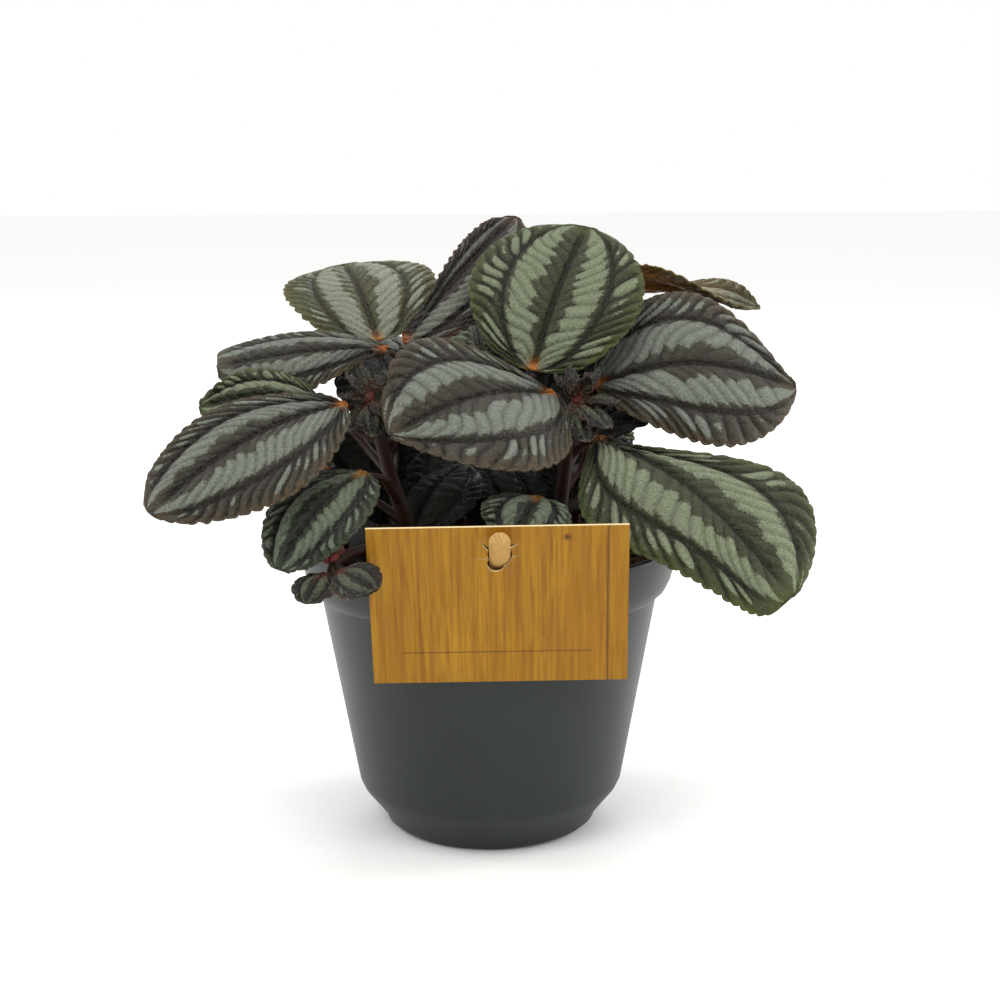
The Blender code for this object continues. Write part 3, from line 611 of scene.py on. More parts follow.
def leaf_marks(leaf, share, u, v, chance, depth):
    """The relief in millimetres and the fields of colour of a quilted, silver-banded blade."""
    length = blade_frame(leaf)[0]
    half = half_width(leaf, u, v)
    out = np.abs(v)
    side = (v >= 0).astype(int)
    count = rib_count(leaf, u, v, chance[0, 0, 0] * 6)
    cell = np.floor(count).astype(int)
    part = count - cell
    ridge = np.abs(np.sin(np.pi * part)) ** 0.6
    fade = smooth_step(0.0, 0.08, u) * (1 - smooth_step(0.86, 0.97, u))
    inside = out < SIDE_VEIN
    across = np.where(inside, out / SIDE_VEIN, (out - SIDE_VEIN) / (1 - SIDE_VEIN))
    window = np.sin(np.pi * np.clip(across, 0, 1)) ** 0.6
    window = np.where(inside | (across < 0.5), window, 0.4 + 0.6 * window)
    height = np.where(inside, INNER_PILLOW, OUTER_PILLOW) * window * fade
    height = height * (0.7 + 0.6 * chance[side, 1, cell])
    vein_fade = smooth_step(0, 0.05, u) * (1 - smooth_step(0.88, 0.99, u))
    from_midrib = out * half
    from_side_vein = np.abs(out - SIDE_VEIN) * half
    midrib = np.exp(-((from_midrib / 0.9) ** 2))
    side_vein = np.exp(-((from_side_vein / 0.85) ** 2)) * vein_fade
    veins = MIDRIB_DEPTH * midrib * vein_fade + SIDE_VEIN_DEPTH * side_vein
    relief = depth * (height * (ridge - 1) - veins)

    inner_edge = 0.05 + 0.17 * np.minimum(u / 0.45, 1) + 0.09 * (chance[side, 2, cell] - 0.5)
    inner_edge = inner_edge + 0.09 * (0.5 - part)
    outer_edge = 0.51 + 0.03 * u + 0.05 * (chance[side, 3, cell] - 0.5) + 0.04 * (part - 0.5)
    band = np.minimum(out - inner_edge, outer_edge - out) / 0.06
    band = band - 16 * np.maximum(u - 0.88, 0) - 30 * np.maximum(0.03 - u, 0)
    strength = 1.7 * chance[side, 4, cell] - 0.45 - 0.9 * np.maximum(u - 0.6, 0)
    middle = 0.77 + 0.1 * (chance[side, 3, cell] - 0.5)
    spread = ((out - middle) / 0.12) ** 2 + ((part - 0.5) / 0.38) ** 2
    patch = 1.5 * (strength - 0.9 * spread)
    silver = np.clip(np.maximum(band, patch), -1, 1)

    # The vein field: dark vein lines and grooves, a darker band beside the midrib and side veins, and painted
    # shade in the hollows between the pillows.
    pitch = length / leaf.ribs
    groove = np.exp(-((np.minimum(part, 1 - part) * pitch / 0.6) ** 2)) * fade
    groove = groove * np.where(inside, 0.6 - 0.35 * np.clip(band, 0, 1), 0.85)
    groove = groove * (1 - smooth_step(0.9, 1.0, out))
    shade = 0.45 * np.exp(-((from_midrib / 2.4) ** 2)) + 0.4 * np.exp(-((from_side_vein / 1.8) ** 2))
    lines = np.maximum(np.exp(-((from_midrib / 0.55) ** 2)), 0.95 * np.exp(-((from_side_vein / 0.55) ** 2)))
    pillow_hollow_shade = np.where(inside, 0.38, 0.7) * (1 - ridge) * fade * (1 - smooth_step(0.92, 1.0, out))
    vein_and_shade = np.maximum(np.maximum(groove, pillow_hollow_shade + shade * vein_fade), lines * vein_fade)
    edge = smooth_step(0.76, 1.0, out + 0.08 * (chance[side, 5, cell] - 0.5))
    edge = np.maximum(edge, 0.8 * smooth_step(0.86, 1.0, u))
    stalk = np.exp(-((u * length / leaf.orange) ** 2)) * np.exp(-((from_midrib / leaf.orange / 0.6) ** 2))
    teeth = np.round(length / TOOTH_PITCH)
    tooth = np.abs(np.sin(np.pi * teeth * share)) ** 0.7 - 0.4
    scallop = tooth * smooth_step(0.75, 1.0, out) / np.maximum(half, 4)
    return Marks(relief, silver, vein_and_shade, edge, stalk, 0.8 * scallop)


def leaf_piece(name, leaf, seed, depth=1.0, thickness=0.5, lift=0.3):
    """A leaf's blade. A grid is laid along the blade's curves, because no operator bends one to them,
    and its upper face gets the quilting before a wall is added under it."""
    bpy.ops.object.select_all(action="DESELECT")
    bpy.ops.mesh.primitive_grid_add(x_subdivisions=leaf.grid[0], y_subdivisions=leaf.grid[1], size=2)
    piece = bpy.context.object
    piece.name = name
    flat = np.empty(len(piece.data.vertices) * 3)
    piece.data.vertices.foreach_get("co", flat)
    flat = flat.reshape(-1, 3)
    out = np.abs(flat[:, 0])
    zone = np.where(out < SIDE_VEIN, SIDE_VEIN, 1 - SIDE_VEIN)
    out = out - CROWDING * zone / math.tau * np.sin(math.tau * (out - SIDE_VEIN) / zone)
    v = np.sign(flat[:, 0]) * out
    share = (flat[:, 1] + 1) / 2
    u = np.clip(0.5 * share + 0.25 * (1 - np.cos(np.pi * share)), 0, 1)
    chance = np.random.default_rng(seed).random((2, 6, 64))
    marks = leaf_marks(leaf, share, u, v, chance, depth)
    places = blade_points(leaf, u, v * (1 + marks.scallop))
    places = places + blade_normals(leaf, u, v) * (lift + marks.relief)[:, None]
    places = np.clip(places, CAD_LOW + BLADE_MARGIN, CAD_HIGH - BLADE_MARGIN)
    piece.data.vertices.foreach_set("co", (places * MM).ravel())
    for key in ("silver", "vein_and_shade", "edge", "stalk"):
        piece.data.attributes.new(key, "FLOAT", "POINT").data.foreach_set("value", getattr(marks, key))
    only(piece)
    bpy.ops.object.mode_set(mode="EDIT")
    bpy.ops.mesh.select_all(action="SELECT")
    bpy.ops.mesh.remove_doubles(threshold=2e-6)
    bpy.ops.object.mode_set(mode="OBJECT")
    wall = {"thickness": thickness * MM, "offset": -1, "material_offset": 1, "use_quality_normals": True}
    apply_modifier(piece, "SOLIDIFY", wall)
    bpy.ops.object.shade_smooth()
    return piece


# Materials, each named for what the real one is


def two_toned(name, settings, grains, colours, window=None, relief=None):
    """A material whose colour runs from one to another with the first grain's noise. A relief, as strength
    and distance in metres, follows the last grain's. The window is the part of the first one's range that
    the colours are spread over."""
    made, tree, shader = new_material(name, settings)
    place = add_node(tree, "TexCoord", {}, "Object")
    noises = [add_node(tree, "TexNoise", {"Vector": place, **grain}) for grain in grains]
    share = noises[0]
    if window:
        share = add_node(tree, "MapRange", {"Value": share, "From Min": window[0], "From Max": window[1]})
    low, high = (linear(colour) if isinstance(colour, str) else colour for colour in colours)
    body = add_node(tree, "Mix", {"data_type": "RGBA", 0: share, 6: low, 7: high}, 2)
    tree.links.new(body, shader.inputs["Base Color"])
    if relief:
        bump = add_node(tree, "Bump", {"Height": noises[-1], "Strength": relief[0], "Distance": relief[1]})
        tree.links.new(bump, shader.inputs["Normal"])
    return made, tree, shader, noises, body


def leaf_skin(tone):
    """The upper face of a living leaf: a thin waxy skin with cystoliths and short hairs, so it is half
    matt, its bands of air under the skin look silver, and its raised parts catch a soft light."""
    ground, drift, silver, margin, groove, joint = (linear(code) for code in TONES[tone])
    made, tree, shader = new_material(
        "leaf_skin_" + tone,
        {"IOR": 1.42, "Sheen Weight": 0.05, "Sheen Roughness": 0.4, "Specular IOR Level": 0.32},
    )
    place = add_node(tree, "TexCoord", {}, "Object")
    fields = {
        key: add_node(tree, "Attribute", {"attribute_name": key}, "Fac")
        for key in ("silver", "vein_and_shade", "edge", "stalk")
    }
    # Grains of 0.7 mm break the bands' edges, and clouds of 4 and 15 mm shift the ground's colour.
    grain = add_node(tree, "TexNoise", {"Vector": place, "Scale": 1400, "Detail": 3})
    cloud = add_node(tree, "TexNoise", {"Vector": place, "Scale": 260, "Detail": 3})
    wide = add_node(tree, "TexNoise", {"Vector": place, "Scale": 65, "Detail": 2})
    ragged = add_node(tree, "Math", {"operation": "ADD", 0: grain, 1: cloud})
    ragged = add_node(tree, "Math", {"operation": "MULTIPLY_ADD", 0: ragged, 1: 1.3, 2: fields["silver"]})
    mask = add_node(
        tree, "MapRange",
        {"interpolation_type": "SMOOTHSTEP", "Value": ragged, "From Min": 1.05, "From Max": 1.7},
    )
    shift = add_node(tree, "MapRange", {"Value": wide, "From Min": 0.36, "From Max": 0.64})
    rim = add_node(tree, "Math", {"operation": "MULTIPLY_ADD", 0: cloud, 1: 1.4, 2: -0.25})
    rim = add_node(tree, "Math", {"operation": "MULTIPLY", 0: rim, 1: fields["edge"], "use_clamp": True})
    fleck = add_node(tree, "MapRange", {"Value": grain, "From Min": 0.35, "From Max": 0.7})
    dull = tuple(channel * DULL_SILVER for channel in silver[:3]) + (1.0,)
    bands = add_node(tree, "Mix", {"data_type": "RGBA", 0: fleck, 6: dull, 7: silver}, 2)
    # Pale specks of 0.3 mm are the hairs' feet.
    specks = add_node(tree, "TexVoronoi", {"Vector": place, "Scale": 900}, "Distance")
    specks = add_node(tree, "MapRange", {"Value": specks, "From Min": 0.2, "From Max": 0.1, "To Max": 0.13})
    # Each layer of colour lies on the ones before it. The vein layer also paints shade into the blade's
    # hollows.
    layers = [
        (shift, drift), (rim, margin), (mask, bands), (fields["vein_and_shade"], groove), (specks, linear("B4BAA6")),
        (fields["stalk"], joint),
    ]
    body = ground
    for share, colour in layers:
        body = add_node(tree, "Mix", {"data_type": "RGBA", 0: share, 6: body, 7: colour}, 2)
    tree.links.new(body, shader.inputs["Base Color"])
    rough = add_node(tree, "MapRange", {"Value": mask, "To Min": 0.4, "To Max": 0.58})
    tree.links.new(rough, shader.inputs["Roughness"])
    # Wrinkles of 1.5 mm run over the pillows, with a grain as fine as the skin's cells.
    wrinkle = add_node(tree, "TexNoise", {"Vector": place, "Scale": 640, "Detail": 2, "Distortion": 0.6})
    height = add_node(tree, "Math", {"operation": "MULTIPLY_ADD", 0: grain, 1: 0.3, 2: wrinkle})
    bump = add_node(tree, "Bump", {"Height": height, "Strength": 0.75, "Distance": 0.0011})
    tree.links.new(bump, shader.inputs["Normal"])
    return made


def leaf_underside():
    """The lower face of the leaf: rust red under a pale down, matt, with raised ribs."""
    made, tree, shader, _, body = two_toned(
        "leaf_underside", {"Roughness": 0.62, "IOR": 1.42, "Sheen Weight": 0.2},
        [{"Scale": 300, "Detail": 4}, {"Scale": 1600, "Detail": 3}], (UNDERSIDE, "6E5A34"),
        relief=(0.5, 0.00015),
    )
    vein_and_shade = add_node(tree, "Attribute", {"attribute_name": "vein_and_shade"}, "Fac")
    body = add_node(tree, "Mix", {"data_type": "RGBA", 0: vein_and_shade, 6: body, 7: linear("8A4A2C")}, 2)
    tree.links.new(body, shader.inputs["Base Color"])
    return made


def stem_skin(name, red, green):
    """The skin of a soft stem: red with green patches, a little glossy under its hairs."""
    return two_toned(
        name, {"Roughness": 0.5, "IOR": 1.42, "Specular IOR Level": 0.3},
        [{"Scale": 160, "Detail": 4}, {"Scale": 1500, "Detail": 2}], (red, green),
        window=(0.42, 0.68), relief=(0.4, 0.00012),
    )[0]


def hair_skin():
    """Plant hairs: clear and thin, so they look pale."""
    return new_material("plant_hair", {"Base Color": linear("8C8A76"), "Roughness": 0.5, "IOR": 1.42})[0]


def moulded_plastic(colour):
    """Polypropylene, injection moulded: satin, with a few dusty smears and an orange peel of 0.8 mm."""
    darker = tuple(channel * 0.86 for channel in colour[:3]) + (1.0,)
    made, tree, shader, noises, _ = two_toned(
        "moulded_polypropylene", {"IOR": 1.49, "Specular IOR Level": 0.25},
        [{"Scale": 28, "Detail": 5, "Roughness": 0.6}, {"Scale": 1200, "Detail": 2}],
        (darker, tuple(colour)), window=(0.35, 0.7), relief=(0.12, 0.0001),
    )
    rough = add_node(tree, "MapRange", {"Value": noises[0], "To Min": 0.34, "To Max": 0.48})
    tree.links.new(rough, shader.inputs["Roughness"])
    return made


def peat():
    """Damp peat: near black, matt and crumbly, with brown fibres."""
    return two_toned(
        "damp_peat", {"Roughness": 0.94, "IOR": 1.4, "Specular IOR Level": 0.25},
        [{"Scale": 420, "Detail": 6, "Roughness": 0.7}], ("1C1510", "4A3322"),
        window=(0.4, 0.7), relief=(0.9, 0.0012),
    )[0]


def bark_crumb():
    """Bark and peat crumbs: lighter brown than the peat round them."""
    return two_toned(
        "bark_crumb", {"Roughness": 0.9, "IOR": 1.4, "Specular IOR Level": 0.25},
        [{"Scale": 130, "Detail": 3}], ("241A12", "6A4A2E"), window=(0.35, 0.65),
    )[0]


def card_edge():
    """The card's cut edge: bare cream pulp board."""
    return two_toned(
        "cut_board", {"Roughness": 0.85, "IOR": 1.45},
        [{"Scale": 1500, "Detail": 3}], ("C9A86A", "EAD9AE"),
    )[0]


def in_frame(tree, base):
    """A place in millimetres in the frame of a matrix."""
    return add_node(
        tree, "Mapping",
        {
            "vector_type": "TEXTURE",
            "Vector": add_node(tree, "TexCoord", {}, "Object"),
            "Location": base.translation,
            "Rotation": base.to_euler(),
            "Scale": (MM, MM, MM),
        },
    )


def card_matrix():
    """The card's frame, from the middle of its lower edge: across it, up it, and out of its face."""
    lean, turn = (math.cos(CARD_LEAN), math.sin(CARD_LEAN)), (math.cos(CARD_TURN), math.sin(CARD_TURN))
    across = Vector((turn[0], -turn[1] * lean[1], turn[1] * lean[0]))
    up = Vector((-turn[1], -turn[0] * lean[1], turn[0] * lean[0]))
    out = Vector((0, -lean[0], -lean[1]))
    made = Matrix((across, up, out)).transposed().to_4x4()
    made.translation = Vector(CARD_ORIGIN) * MM
    return made


def printed_planks():
    """Coated card with a print of warm wooden planks: upright grain, two dark joints, a knot and a thin
    rule near the lower edge. Its coating is satin and smooth."""
    made, tree, shader = new_material(
        "printed_card", {"IOR": 1.5, "Roughness": 0.5, "Specular IOR Level": 0.25}
    )
    place = in_frame(tree, card_matrix())
    across, up = (add_node(tree, "SeparateXYZ", {0: place}, axis) for axis in "XY")
    # Streaks are 0.6 to 1.5 mm wide and 25 mm long, and slow bands are about 12 mm wide.
    streaks = add_node(tree, "Mapping", {"Vector": place, "Scale": (0.85, 0.04, 1)})
    fine = add_node(
        tree, "TexNoise", {"Vector": streaks, "Scale": 1, "Detail": 6, "Roughness": 0.65, "Distortion": 0.4}
    )
    slow = add_node(tree, "Mapping", {"Vector": place, "Scale": (0.09, 0.02, 1)})
    bands = add_node(tree, "TexNoise", {"Vector": slow, "Scale": 1, "Detail": 3})
    share = add_node(tree, "MapRange", {"Value": fine, "From Min": 0.33, "From Max": 0.68})
    tint = add_node(tree, "MapRange", {"Value": bands, "From Min": 0.35, "From Max": 0.65, "To Max": 0.55})
    layers = [(share, "AA7C10"), (tint, "885800")]
    wander = add_node(tree, "Math", {"operation": "MULTIPLY_ADD", 0: bands, 1: 1.6, 2: across})
    for at, width, strength in PLANK_JOINTS:
        away = add_node(tree, "Math", {"operation": "SUBTRACT", 0: wander, 1: at})
        away = add_node(tree, "Math", {"operation": "ABSOLUTE", 0: away})
        broken = add_node(tree, "Math", {"operation": "MULTIPLY", 0: fine, 1: strength})
        line = add_node(
            tree, "MapRange", {"Value": away, "From Min": width, "From Max": 0.0, "To Max": broken}
        )
        layers.append((line, "3A1E08"))
    flat = add_node(tree, "CombineXYZ", {0: across, 1: up})
    knot = add_node(tree, "VectorMath", {"operation": "DISTANCE", 0: flat, 1: (*KNOT_PLACE, 0)}, "Value")
    knot = add_node(tree, "MapRange", {"Value": knot, "From Min": 1.5, "From Max": 0.4, "To Max": 0.9})
    rule = add_node(tree, "Math", {"operation": "COMPARE", 0: up, 1: RULE_UP, 2: RULE_WIDTH / 2})
    reach = add_node(tree, "Math", {"operation": "COMPARE", 0: across, 1: RULE_CENTRE, 2: RULE_HALF})
    rule = add_node(tree, "Math", {"operation": "MULTIPLY", 0: rule, 1: reach})
    rule = add_node(tree, "Math", {"operation": "MULTIPLY", 0: rule, 1: 0.75})
    body = linear("7A4E00")
    for share, code in layers + [(knot, "4A260A"), (rule, "2E1A0A")]:
        body = add_node(tree, "Mix", {"data_type": "RGBA", 0: share, 6: body, 7: linear(code)}, 2)
    tree.links.new(body, shader.inputs["Base Color"])
    bump = add_node(tree, "Bump", {"Height": fine, "Strength": 0.08, "Distance": 0.0001})
    tree.links.new(bump, shader.inputs["Normal"])
    return made


def peg_matrix():
    """The peg's frame, from the middle of the card's hole: across it, through its thickness, and along it."""
    across = Vector((1, 0, 0))
    ahead = Vector((0, -math.cos(PEG_RISE), math.sin(PEG_RISE)))
    over = Vector((0, math.sin(PEG_RISE), math.cos(PEG_RISE)))
    made = Matrix((across, -over, ahead)).transposed().to_4x4()
    made.translation = card_matrix() @ Vector((PEG_ON_CARD[0] * MM, PEG_ON_CARD[1] * MM, 0.4 * MM))
    return made


def birch(name, light, dark):
    """Bare birch: pale, matt, with fine fibres along the peg and little colour in them."""
    made, tree, shader = new_material(name, {"Roughness": 0.62, "IOR": 1.45})
    along = add_node(tree, "Mapping", {"Vector": in_frame(tree, peg_matrix()), "Scale": (2.2, 2.2, 0.12)})
    fibre = add_node(tree, "TexNoise", {"Vector": along, "Scale": 1, "Detail": 5, "Roughness": 0.6})
    share = add_node(tree, "MapRange", {"Value": fibre, "From Min": 0.35, "From Max": 0.66})
    body = add_node(tree, "Mix", {"data_type": "RGBA", 0: share, 6: linear(dark), 7: linear(light)}, 2)
    tree.links.new(body, shader.inputs["Base Color"])
    bump = add_node(tree, "Bump", {"Height": fibre, "Strength": 0.35, "Distance": 0.00015})
    tree.links.new(bump, shader.inputs["Normal"])
    return made


# Stems and hairs


def smooth_route(route, steps):
    """Points along a curve through the route's points, with their radii. Each is (x, y, z, radius)."""
    ends = [Vector(place) for place in (route[0], *route, route[-1])]
    made = []
    for at in range(1, len(route)):
        before, start, end, after = ends[at - 1 : at + 3]
        for step in range(steps):
            t = step / steps
            bend = (2 * before - 5 * start + 4 * end - after) * t**2
            turn = (3 * start - before - 3 * end + after) * t**3
            made.append(0.5 * (2 * start + (end - before) * t + bend + turn))
    return made + [ends[-1]]


def tube_piece(name, route, sides, steps):
    """A closed round tube along a route of (x, y, z, radius)."""
    route = smooth_route(route, steps)
    centres = [place.xyz for place in route]
    points, faces = [], []
    across = Vector((1, 0.3, 0))
    for at, centre in enumerate(centres):
        ahead = centres[min(at + 1, len(centres) - 1)] - centres[max(at - 1, 0)]
        across = (across - ahead * across.dot(ahead) / ahead.length_squared).normalized()
        other = ahead.normalized().cross(across)
        for corner in range(sides):
            angle = 2 * math.pi * corner / sides
            points.append(centre + (across * math.cos(angle) + other * math.sin(angle)) * route[at].w)
    for at in range(len(centres) - 1):
        for corner in range(sides):
            a, b = at * sides + corner, at * sides + (corner + 1) % sides
            faces.append((a, b, b + sides, a + sides))
    faces.append(tuple(reversed(range(sides))))
    faces.append(tuple(range(len(points) - sides, len(points))))
    return mesh_piece(name, points, faces)


def stem_point(stem, share):
    """A point on a stem's middle line, at a share of the way from the soil to its top."""
    line = smooth_route(STEMS[stem], 6)
    place = share * (len(line) - 1)
    at = min(int(place), len(line) - 2)
    return line[at].lerp(line[at + 1], place - at).xyz


def stalk_route(leaf):
    """A leaf's stalk, from the middle of its stem to just under the base of its blade."""
    _, along, normal, _ = blade_frame(leaf)
    start = stem_point(leaf.stem, leaf.leaves_at)
    end = Vector(leaf.base) - normal * UNDER_BLADE - along * BEFORE_BLADE
    rise = (along + normal * 1.2).normalized()
    knee = end - rise * STALK_KNEE * (end - start).length
    route = (start, start.lerp(knee, STALK_BEND), knee, end)
    return [(*point, radius) for point, radius in zip(route, STALK_RADII)]


def hair_piece(name, roots):
    """Hairs as thin three-sided cones. Each root is (place, direction, length)."""
    points, faces = [], []
    for place, direction, length in roots:
        direction = Vector(direction).normalized()
        aside = direction.orthogonal().normalized()
        other = direction.cross(aside)
        at = len(points)
        place = Vector(place) - direction * HAIR_SUNK
        for corner in range(3):
            angle = 2 * math.pi * corner / 3
            points.append(place + (aside * math.cos(angle) + other * math.sin(angle)) * HAIR_RADIUS)
        points.append(place + direction * (length + HAIR_SUNK))
        faces += [(at, at + 1, at + 3), (at + 1, at + 2, at + 3), (at + 2, at, at + 3), (at + 2, at + 1, at)]
    return mesh_piece(name, points, faces)


def young_leaf(centre, tip, width):
    """A small pleated leaf of the cluster at a stem's top."""
    return Leaf(
        centre, tip, (width, width), bow=1.5, curl=(45, 45), lobe=0, puff=0.3, ribs=8, grid=SMALL, orange=4.5
    )


def inside_box(place):
    """Whether a point in millimetres is well inside the CAD model's box."""
    above = np.array(place) > CAD_LOW + HAIR_MARGIN
    below = np.array(place) < CAD_HIGH - HAIR_MARGIN
    return bool(np.all(above & below))


# What a user would change


class PotSettings(bpy.types.PropertyGroup):
    colour: FloatVectorProperty(
        name="Colour", description="Colour of the plastic", subtype="COLOR", size=4, min=0, max=1,
        default=linear("272C2A"),
    )
    segments: IntProperty(name="Segments", description="Faces round the pot", default=144, min=48, max=256)


class CardSettings(bpy.types.PropertyGroup):
    width: FloatProperty(name="Width", description="Width of the card", default=0.074, unit="LENGTH")
    length: FloatProperty(name="Length", description="Length of the card", default=0.052, unit="LENGTH")
    thickness: FloatProperty(
        name="Thickness", description="Thickness of the card", default=0.0008, unit="LENGTH"
    )


class PegSettings(bpy.types.PropertyGroup):
    width: FloatProperty(name="Width", description="Width of the peg", default=0.0061, unit="LENGTH")
    thickness: FloatProperty(
        name="Thickness", description="Thickness of the peg", default=0.0034, unit="LENGTH"
    )


class LeafSettings(bpy.types.PropertyGroup):
    relief: FloatProperty(
        name="Relief", description="Depth of the quilting against the real one", default=1.0
    )
    thickness: FloatProperty(
        name="Thickness", description="Thickness of a leaf", default=0.0005, unit="LENGTH"
    )
    hair_length: FloatProperty(
        name="Hair length", description="Length of a hair", default=0.001, unit="LENGTH"
    )


# The pieces


class PLANT_OT_pot(bpy.types.Operator):
    """Spins the nursery pot and drills its drain holes"""

    bl_idname = "plant.pot"
    bl_label = "Pot"

    def execute(self, context):
        settings = context.scene.plant_pot
        pot = spun("nursery_pot", INSIDE + OUTSIDE, settings.segments)
        apply_modifier(
            pot, "BEVEL", {"width": 0.35 * MM, "segments": 2, "limit_method": "ANGLE", "angle_limit": 0.5}
        )
        cutters = []
        for at in range(DRAIN_HOLES):
            angle = 2 * math.pi * (at + 0.5) / DRAIN_HOLES
            place = (DRAIN_RING * math.cos(angle) * MM, DRAIN_RING * math.sin(angle) * MM, 0)
            bpy.ops.mesh.primitive_cylinder_add(
                vertices=24, radius=DRAIN_RADIUS * MM, depth=8 * MM, location=place
            )
            cutters.append(context.object)
        cut_out(pot, join(cutters, "drain_holes"))
        only(pot)
        bpy.ops.object.shade_smooth_by_angle(angle=math.radians(35))
        finish_piece(pot, ["pot"], [moulded_plastic(settings.colour)])
        return {"FINISHED"}


class PLANT_OT_soil(bpy.types.Operator):
    """Fills the pot with lumpy peat and scatters crumbs of bark on it"""

    bl_idname = "plant.soil"
    bl_label = "Soil"

    def execute(self, context):
        edge = SOIL_SIDE[-1][0]
        rings = 34
        top = [(edge * (1 - at / rings), SOIL_TOP) for at in range(1, rings)]
        soil = spun("soil_fill", [(0, 1.9)] + SOIL_SIDE + top + [(0, SOIL_TOP)], 96)
        for vertex in soil.data.vertices:
            if vertex.co.z > (SOIL_TOP - 0.1) * MM:
                place = vertex.co / MM
                fade = min((edge - place.xy.length) / 4, 1)
                lump = noise.fractal(place * 0.13, 0.6, 2.0, 5) + 0.35 * noise.noise(place * 0.9)
                vertex.co.z += 1.5 * lump * fade * MM
        finish_piece(soil, ["soil"], [peat()])
        chance = np.random.default_rng(5)
        bpy.ops.object.select_all(action="DESELECT")
        bpy.ops.mesh.primitive_ico_sphere_add(subdivisions=1, radius=1)
        model = context.object
        shape = [vertex.co.copy() for vertex in model.data.vertices]
        polygons = [tuple(face.vertices) for face in model.data.polygons]
        bpy.data.objects.remove(model)
        points, faces = [], []
        for at in range(CRUMBS):
            radius = edge * 0.97 * math.sqrt(chance.random())
            angle = 2 * math.pi * chance.random()
            size = 0.5 + 1.1 * chance.random() ** 2
            centre = Vector((radius * math.cos(angle), radius * math.sin(angle), SOIL_TOP + 0.3 * size))
            stretch = Vector((1 + chance.random(), 0.7 + 0.4 * chance.random(), 0.5 + 0.4 * chance.random()))
            turn = Matrix.Rotation(6.3 * chance.random(), 3, "Z")
            start = len(points)
            for corner in shape:
                bump = 1 + 0.35 * noise.noise(corner * 1.7 + Vector((at, 0, 0)))
                points.append(centre + turn @ (corner * stretch) * size * bump)
            faces += [tuple(start + index for index in face) for face in polygons]
        crumbs = mesh_piece("soil_crumbs", points, faces)
        only(crumbs)
        bpy.ops.object.shade_smooth()
        finish_piece(crumbs, [], [bark_crumb()])
        return {"FINISHED"}


class PLANT_OT_card(bpy.types.Operator):
    """Makes the printed card with its torn hole"""

    bl_idname = "plant.card"
    bl_label = "Card"

    def execute(self, context):
        settings = context.scene.plant_card
        bpy.ops.object.select_all(action="DESELECT")
        bpy.ops.mesh.primitive_cube_add(size=1)
        card = context.object
        card.name = "hanging_card"
        size = Matrix.Diagonal((settings.width, settings.length, settings.thickness, 1))
        middle = Matrix.Translation((0, settings.length / 2, settings.thickness / 2))
        card.data.transform(card_matrix() @ middle @ size)
        bpy.ops.mesh.primitive_cylinder_add(vertices=40, radius=MM, depth=6 * MM)
        hole = context.object
        place = Matrix.Translation((PEG_ON_CARD[0] * MM, PEG_ON_CARD[1] * MM, 0))
        hole.data.transform(card_matrix() @ place @ Matrix.Diagonal((*HOLE_HALF, 1, 1)))
        bpy.ops.mesh.primitive_cylinder_add(vertices=32, radius=BAY[2] * MM, depth=7 * MM)
        bay = context.object
        place = Matrix.Translation(((PEG_ON_CARD[0] + BAY[0]) * MM, (PEG_ON_CARD[1] + BAY[1]) * MM, 0))
        bay.data.transform(card_matrix() @ place)
        cut_out(card, hole)
        cut_out(card, bay)
        for start, end, width in CARD_SLITS:
            start, end = Vector(start), Vector(end)
            side = (end - start).orthogonal().normalized() * width / 2
            corners = [start + side, start - side, end]
            points = [
                card_matrix() @ Vector((*corner * MM, height * MM)) / MM
                for height in (-2, 3)
                for corner in corners
            ]
            faces = [(2, 1, 0), (3, 4, 5), (0, 1, 4, 3), (1, 2, 5, 4), (2, 0, 3, 5)]
            wedge = mesh_piece("slit", points, faces)
            only(wedge)
            bpy.ops.object.mode_set(mode="EDIT")
            bpy.ops.mesh.select_all(action="SELECT")
            bpy.ops.mesh.normals_make_consistent(inside=False)
            bpy.ops.object.mode_set(mode="OBJECT")
            cut_out(card, wedge)
        finish_piece(card, ["card"], [printed_planks(), card_edge()])
        out = card_matrix().col[2].xyz
        for face in card.data.polygons:
            face.material_index = 0 if abs(face.normal.dot(out)) > 0.9 else 1
        return {"FINISHED"}


class PLANT_OT_peg(bpy.types.Operator):
    """Shapes the wooden peg and cuts its end to a wedge"""

    bl_idname = "plant.peg"
    bl_label = "Peg"

    def execute(self, context):
        settings = context.scene.plant_peg
        bpy.ops.object.select_all(action="DESELECT")
        depth = (PEG_BURIED + PEG_PROUD) * MM
        middle = (PEG_PROUD - PEG_BURIED) / 2 * MM
        bpy.ops.mesh.primitive_cylinder_add(vertices=48, radius=1, depth=depth, location=(0, 0, middle))
        peg = context.object
        peg.name = "wooden_peg"
        bpy.ops.object.transform_apply(location=True)
        bpy.ops.object.mode_set(mode="EDIT")
        bpy.ops.mesh.select_all(action="SELECT")
        bpy.ops.transform.resize(value=(settings.width / 2, settings.thickness / 2, 1))
        for back, normal in PEG_CUTS:
            bpy.ops.mesh.select_all(action="SELECT")
            bpy.ops.mesh.bisect(
                plane_co=(0, 0, (PEG_PROUD - back) * MM), plane_no=normal, use_fill=True, clear_outer=True
            )
        bpy.ops.object.mode_set(mode="OBJECT")
        apply_modifier(
            peg, "BEVEL", {"width": 0.25 * MM, "segments": 3, "limit_method": "ANGLE", "angle_limit": 0.45}
        )
        peg.data.transform(peg_matrix())
        only(peg)
        bpy.ops.object.shade_smooth_by_angle(angle=math.radians(40))
        wood = [birch("bare_birch", "BC9656", "9E753A"), birch("cut_birch", "D8B880", "C4A066")]
        finish_piece(peg, ["peg"], wood)
        ahead = peg_matrix().col[2].xyz
        for face in peg.data.polygons:
            face.material_index = 1 if face.normal.dot(ahead) > 0.4 else 0
        return {"FINISHED"}


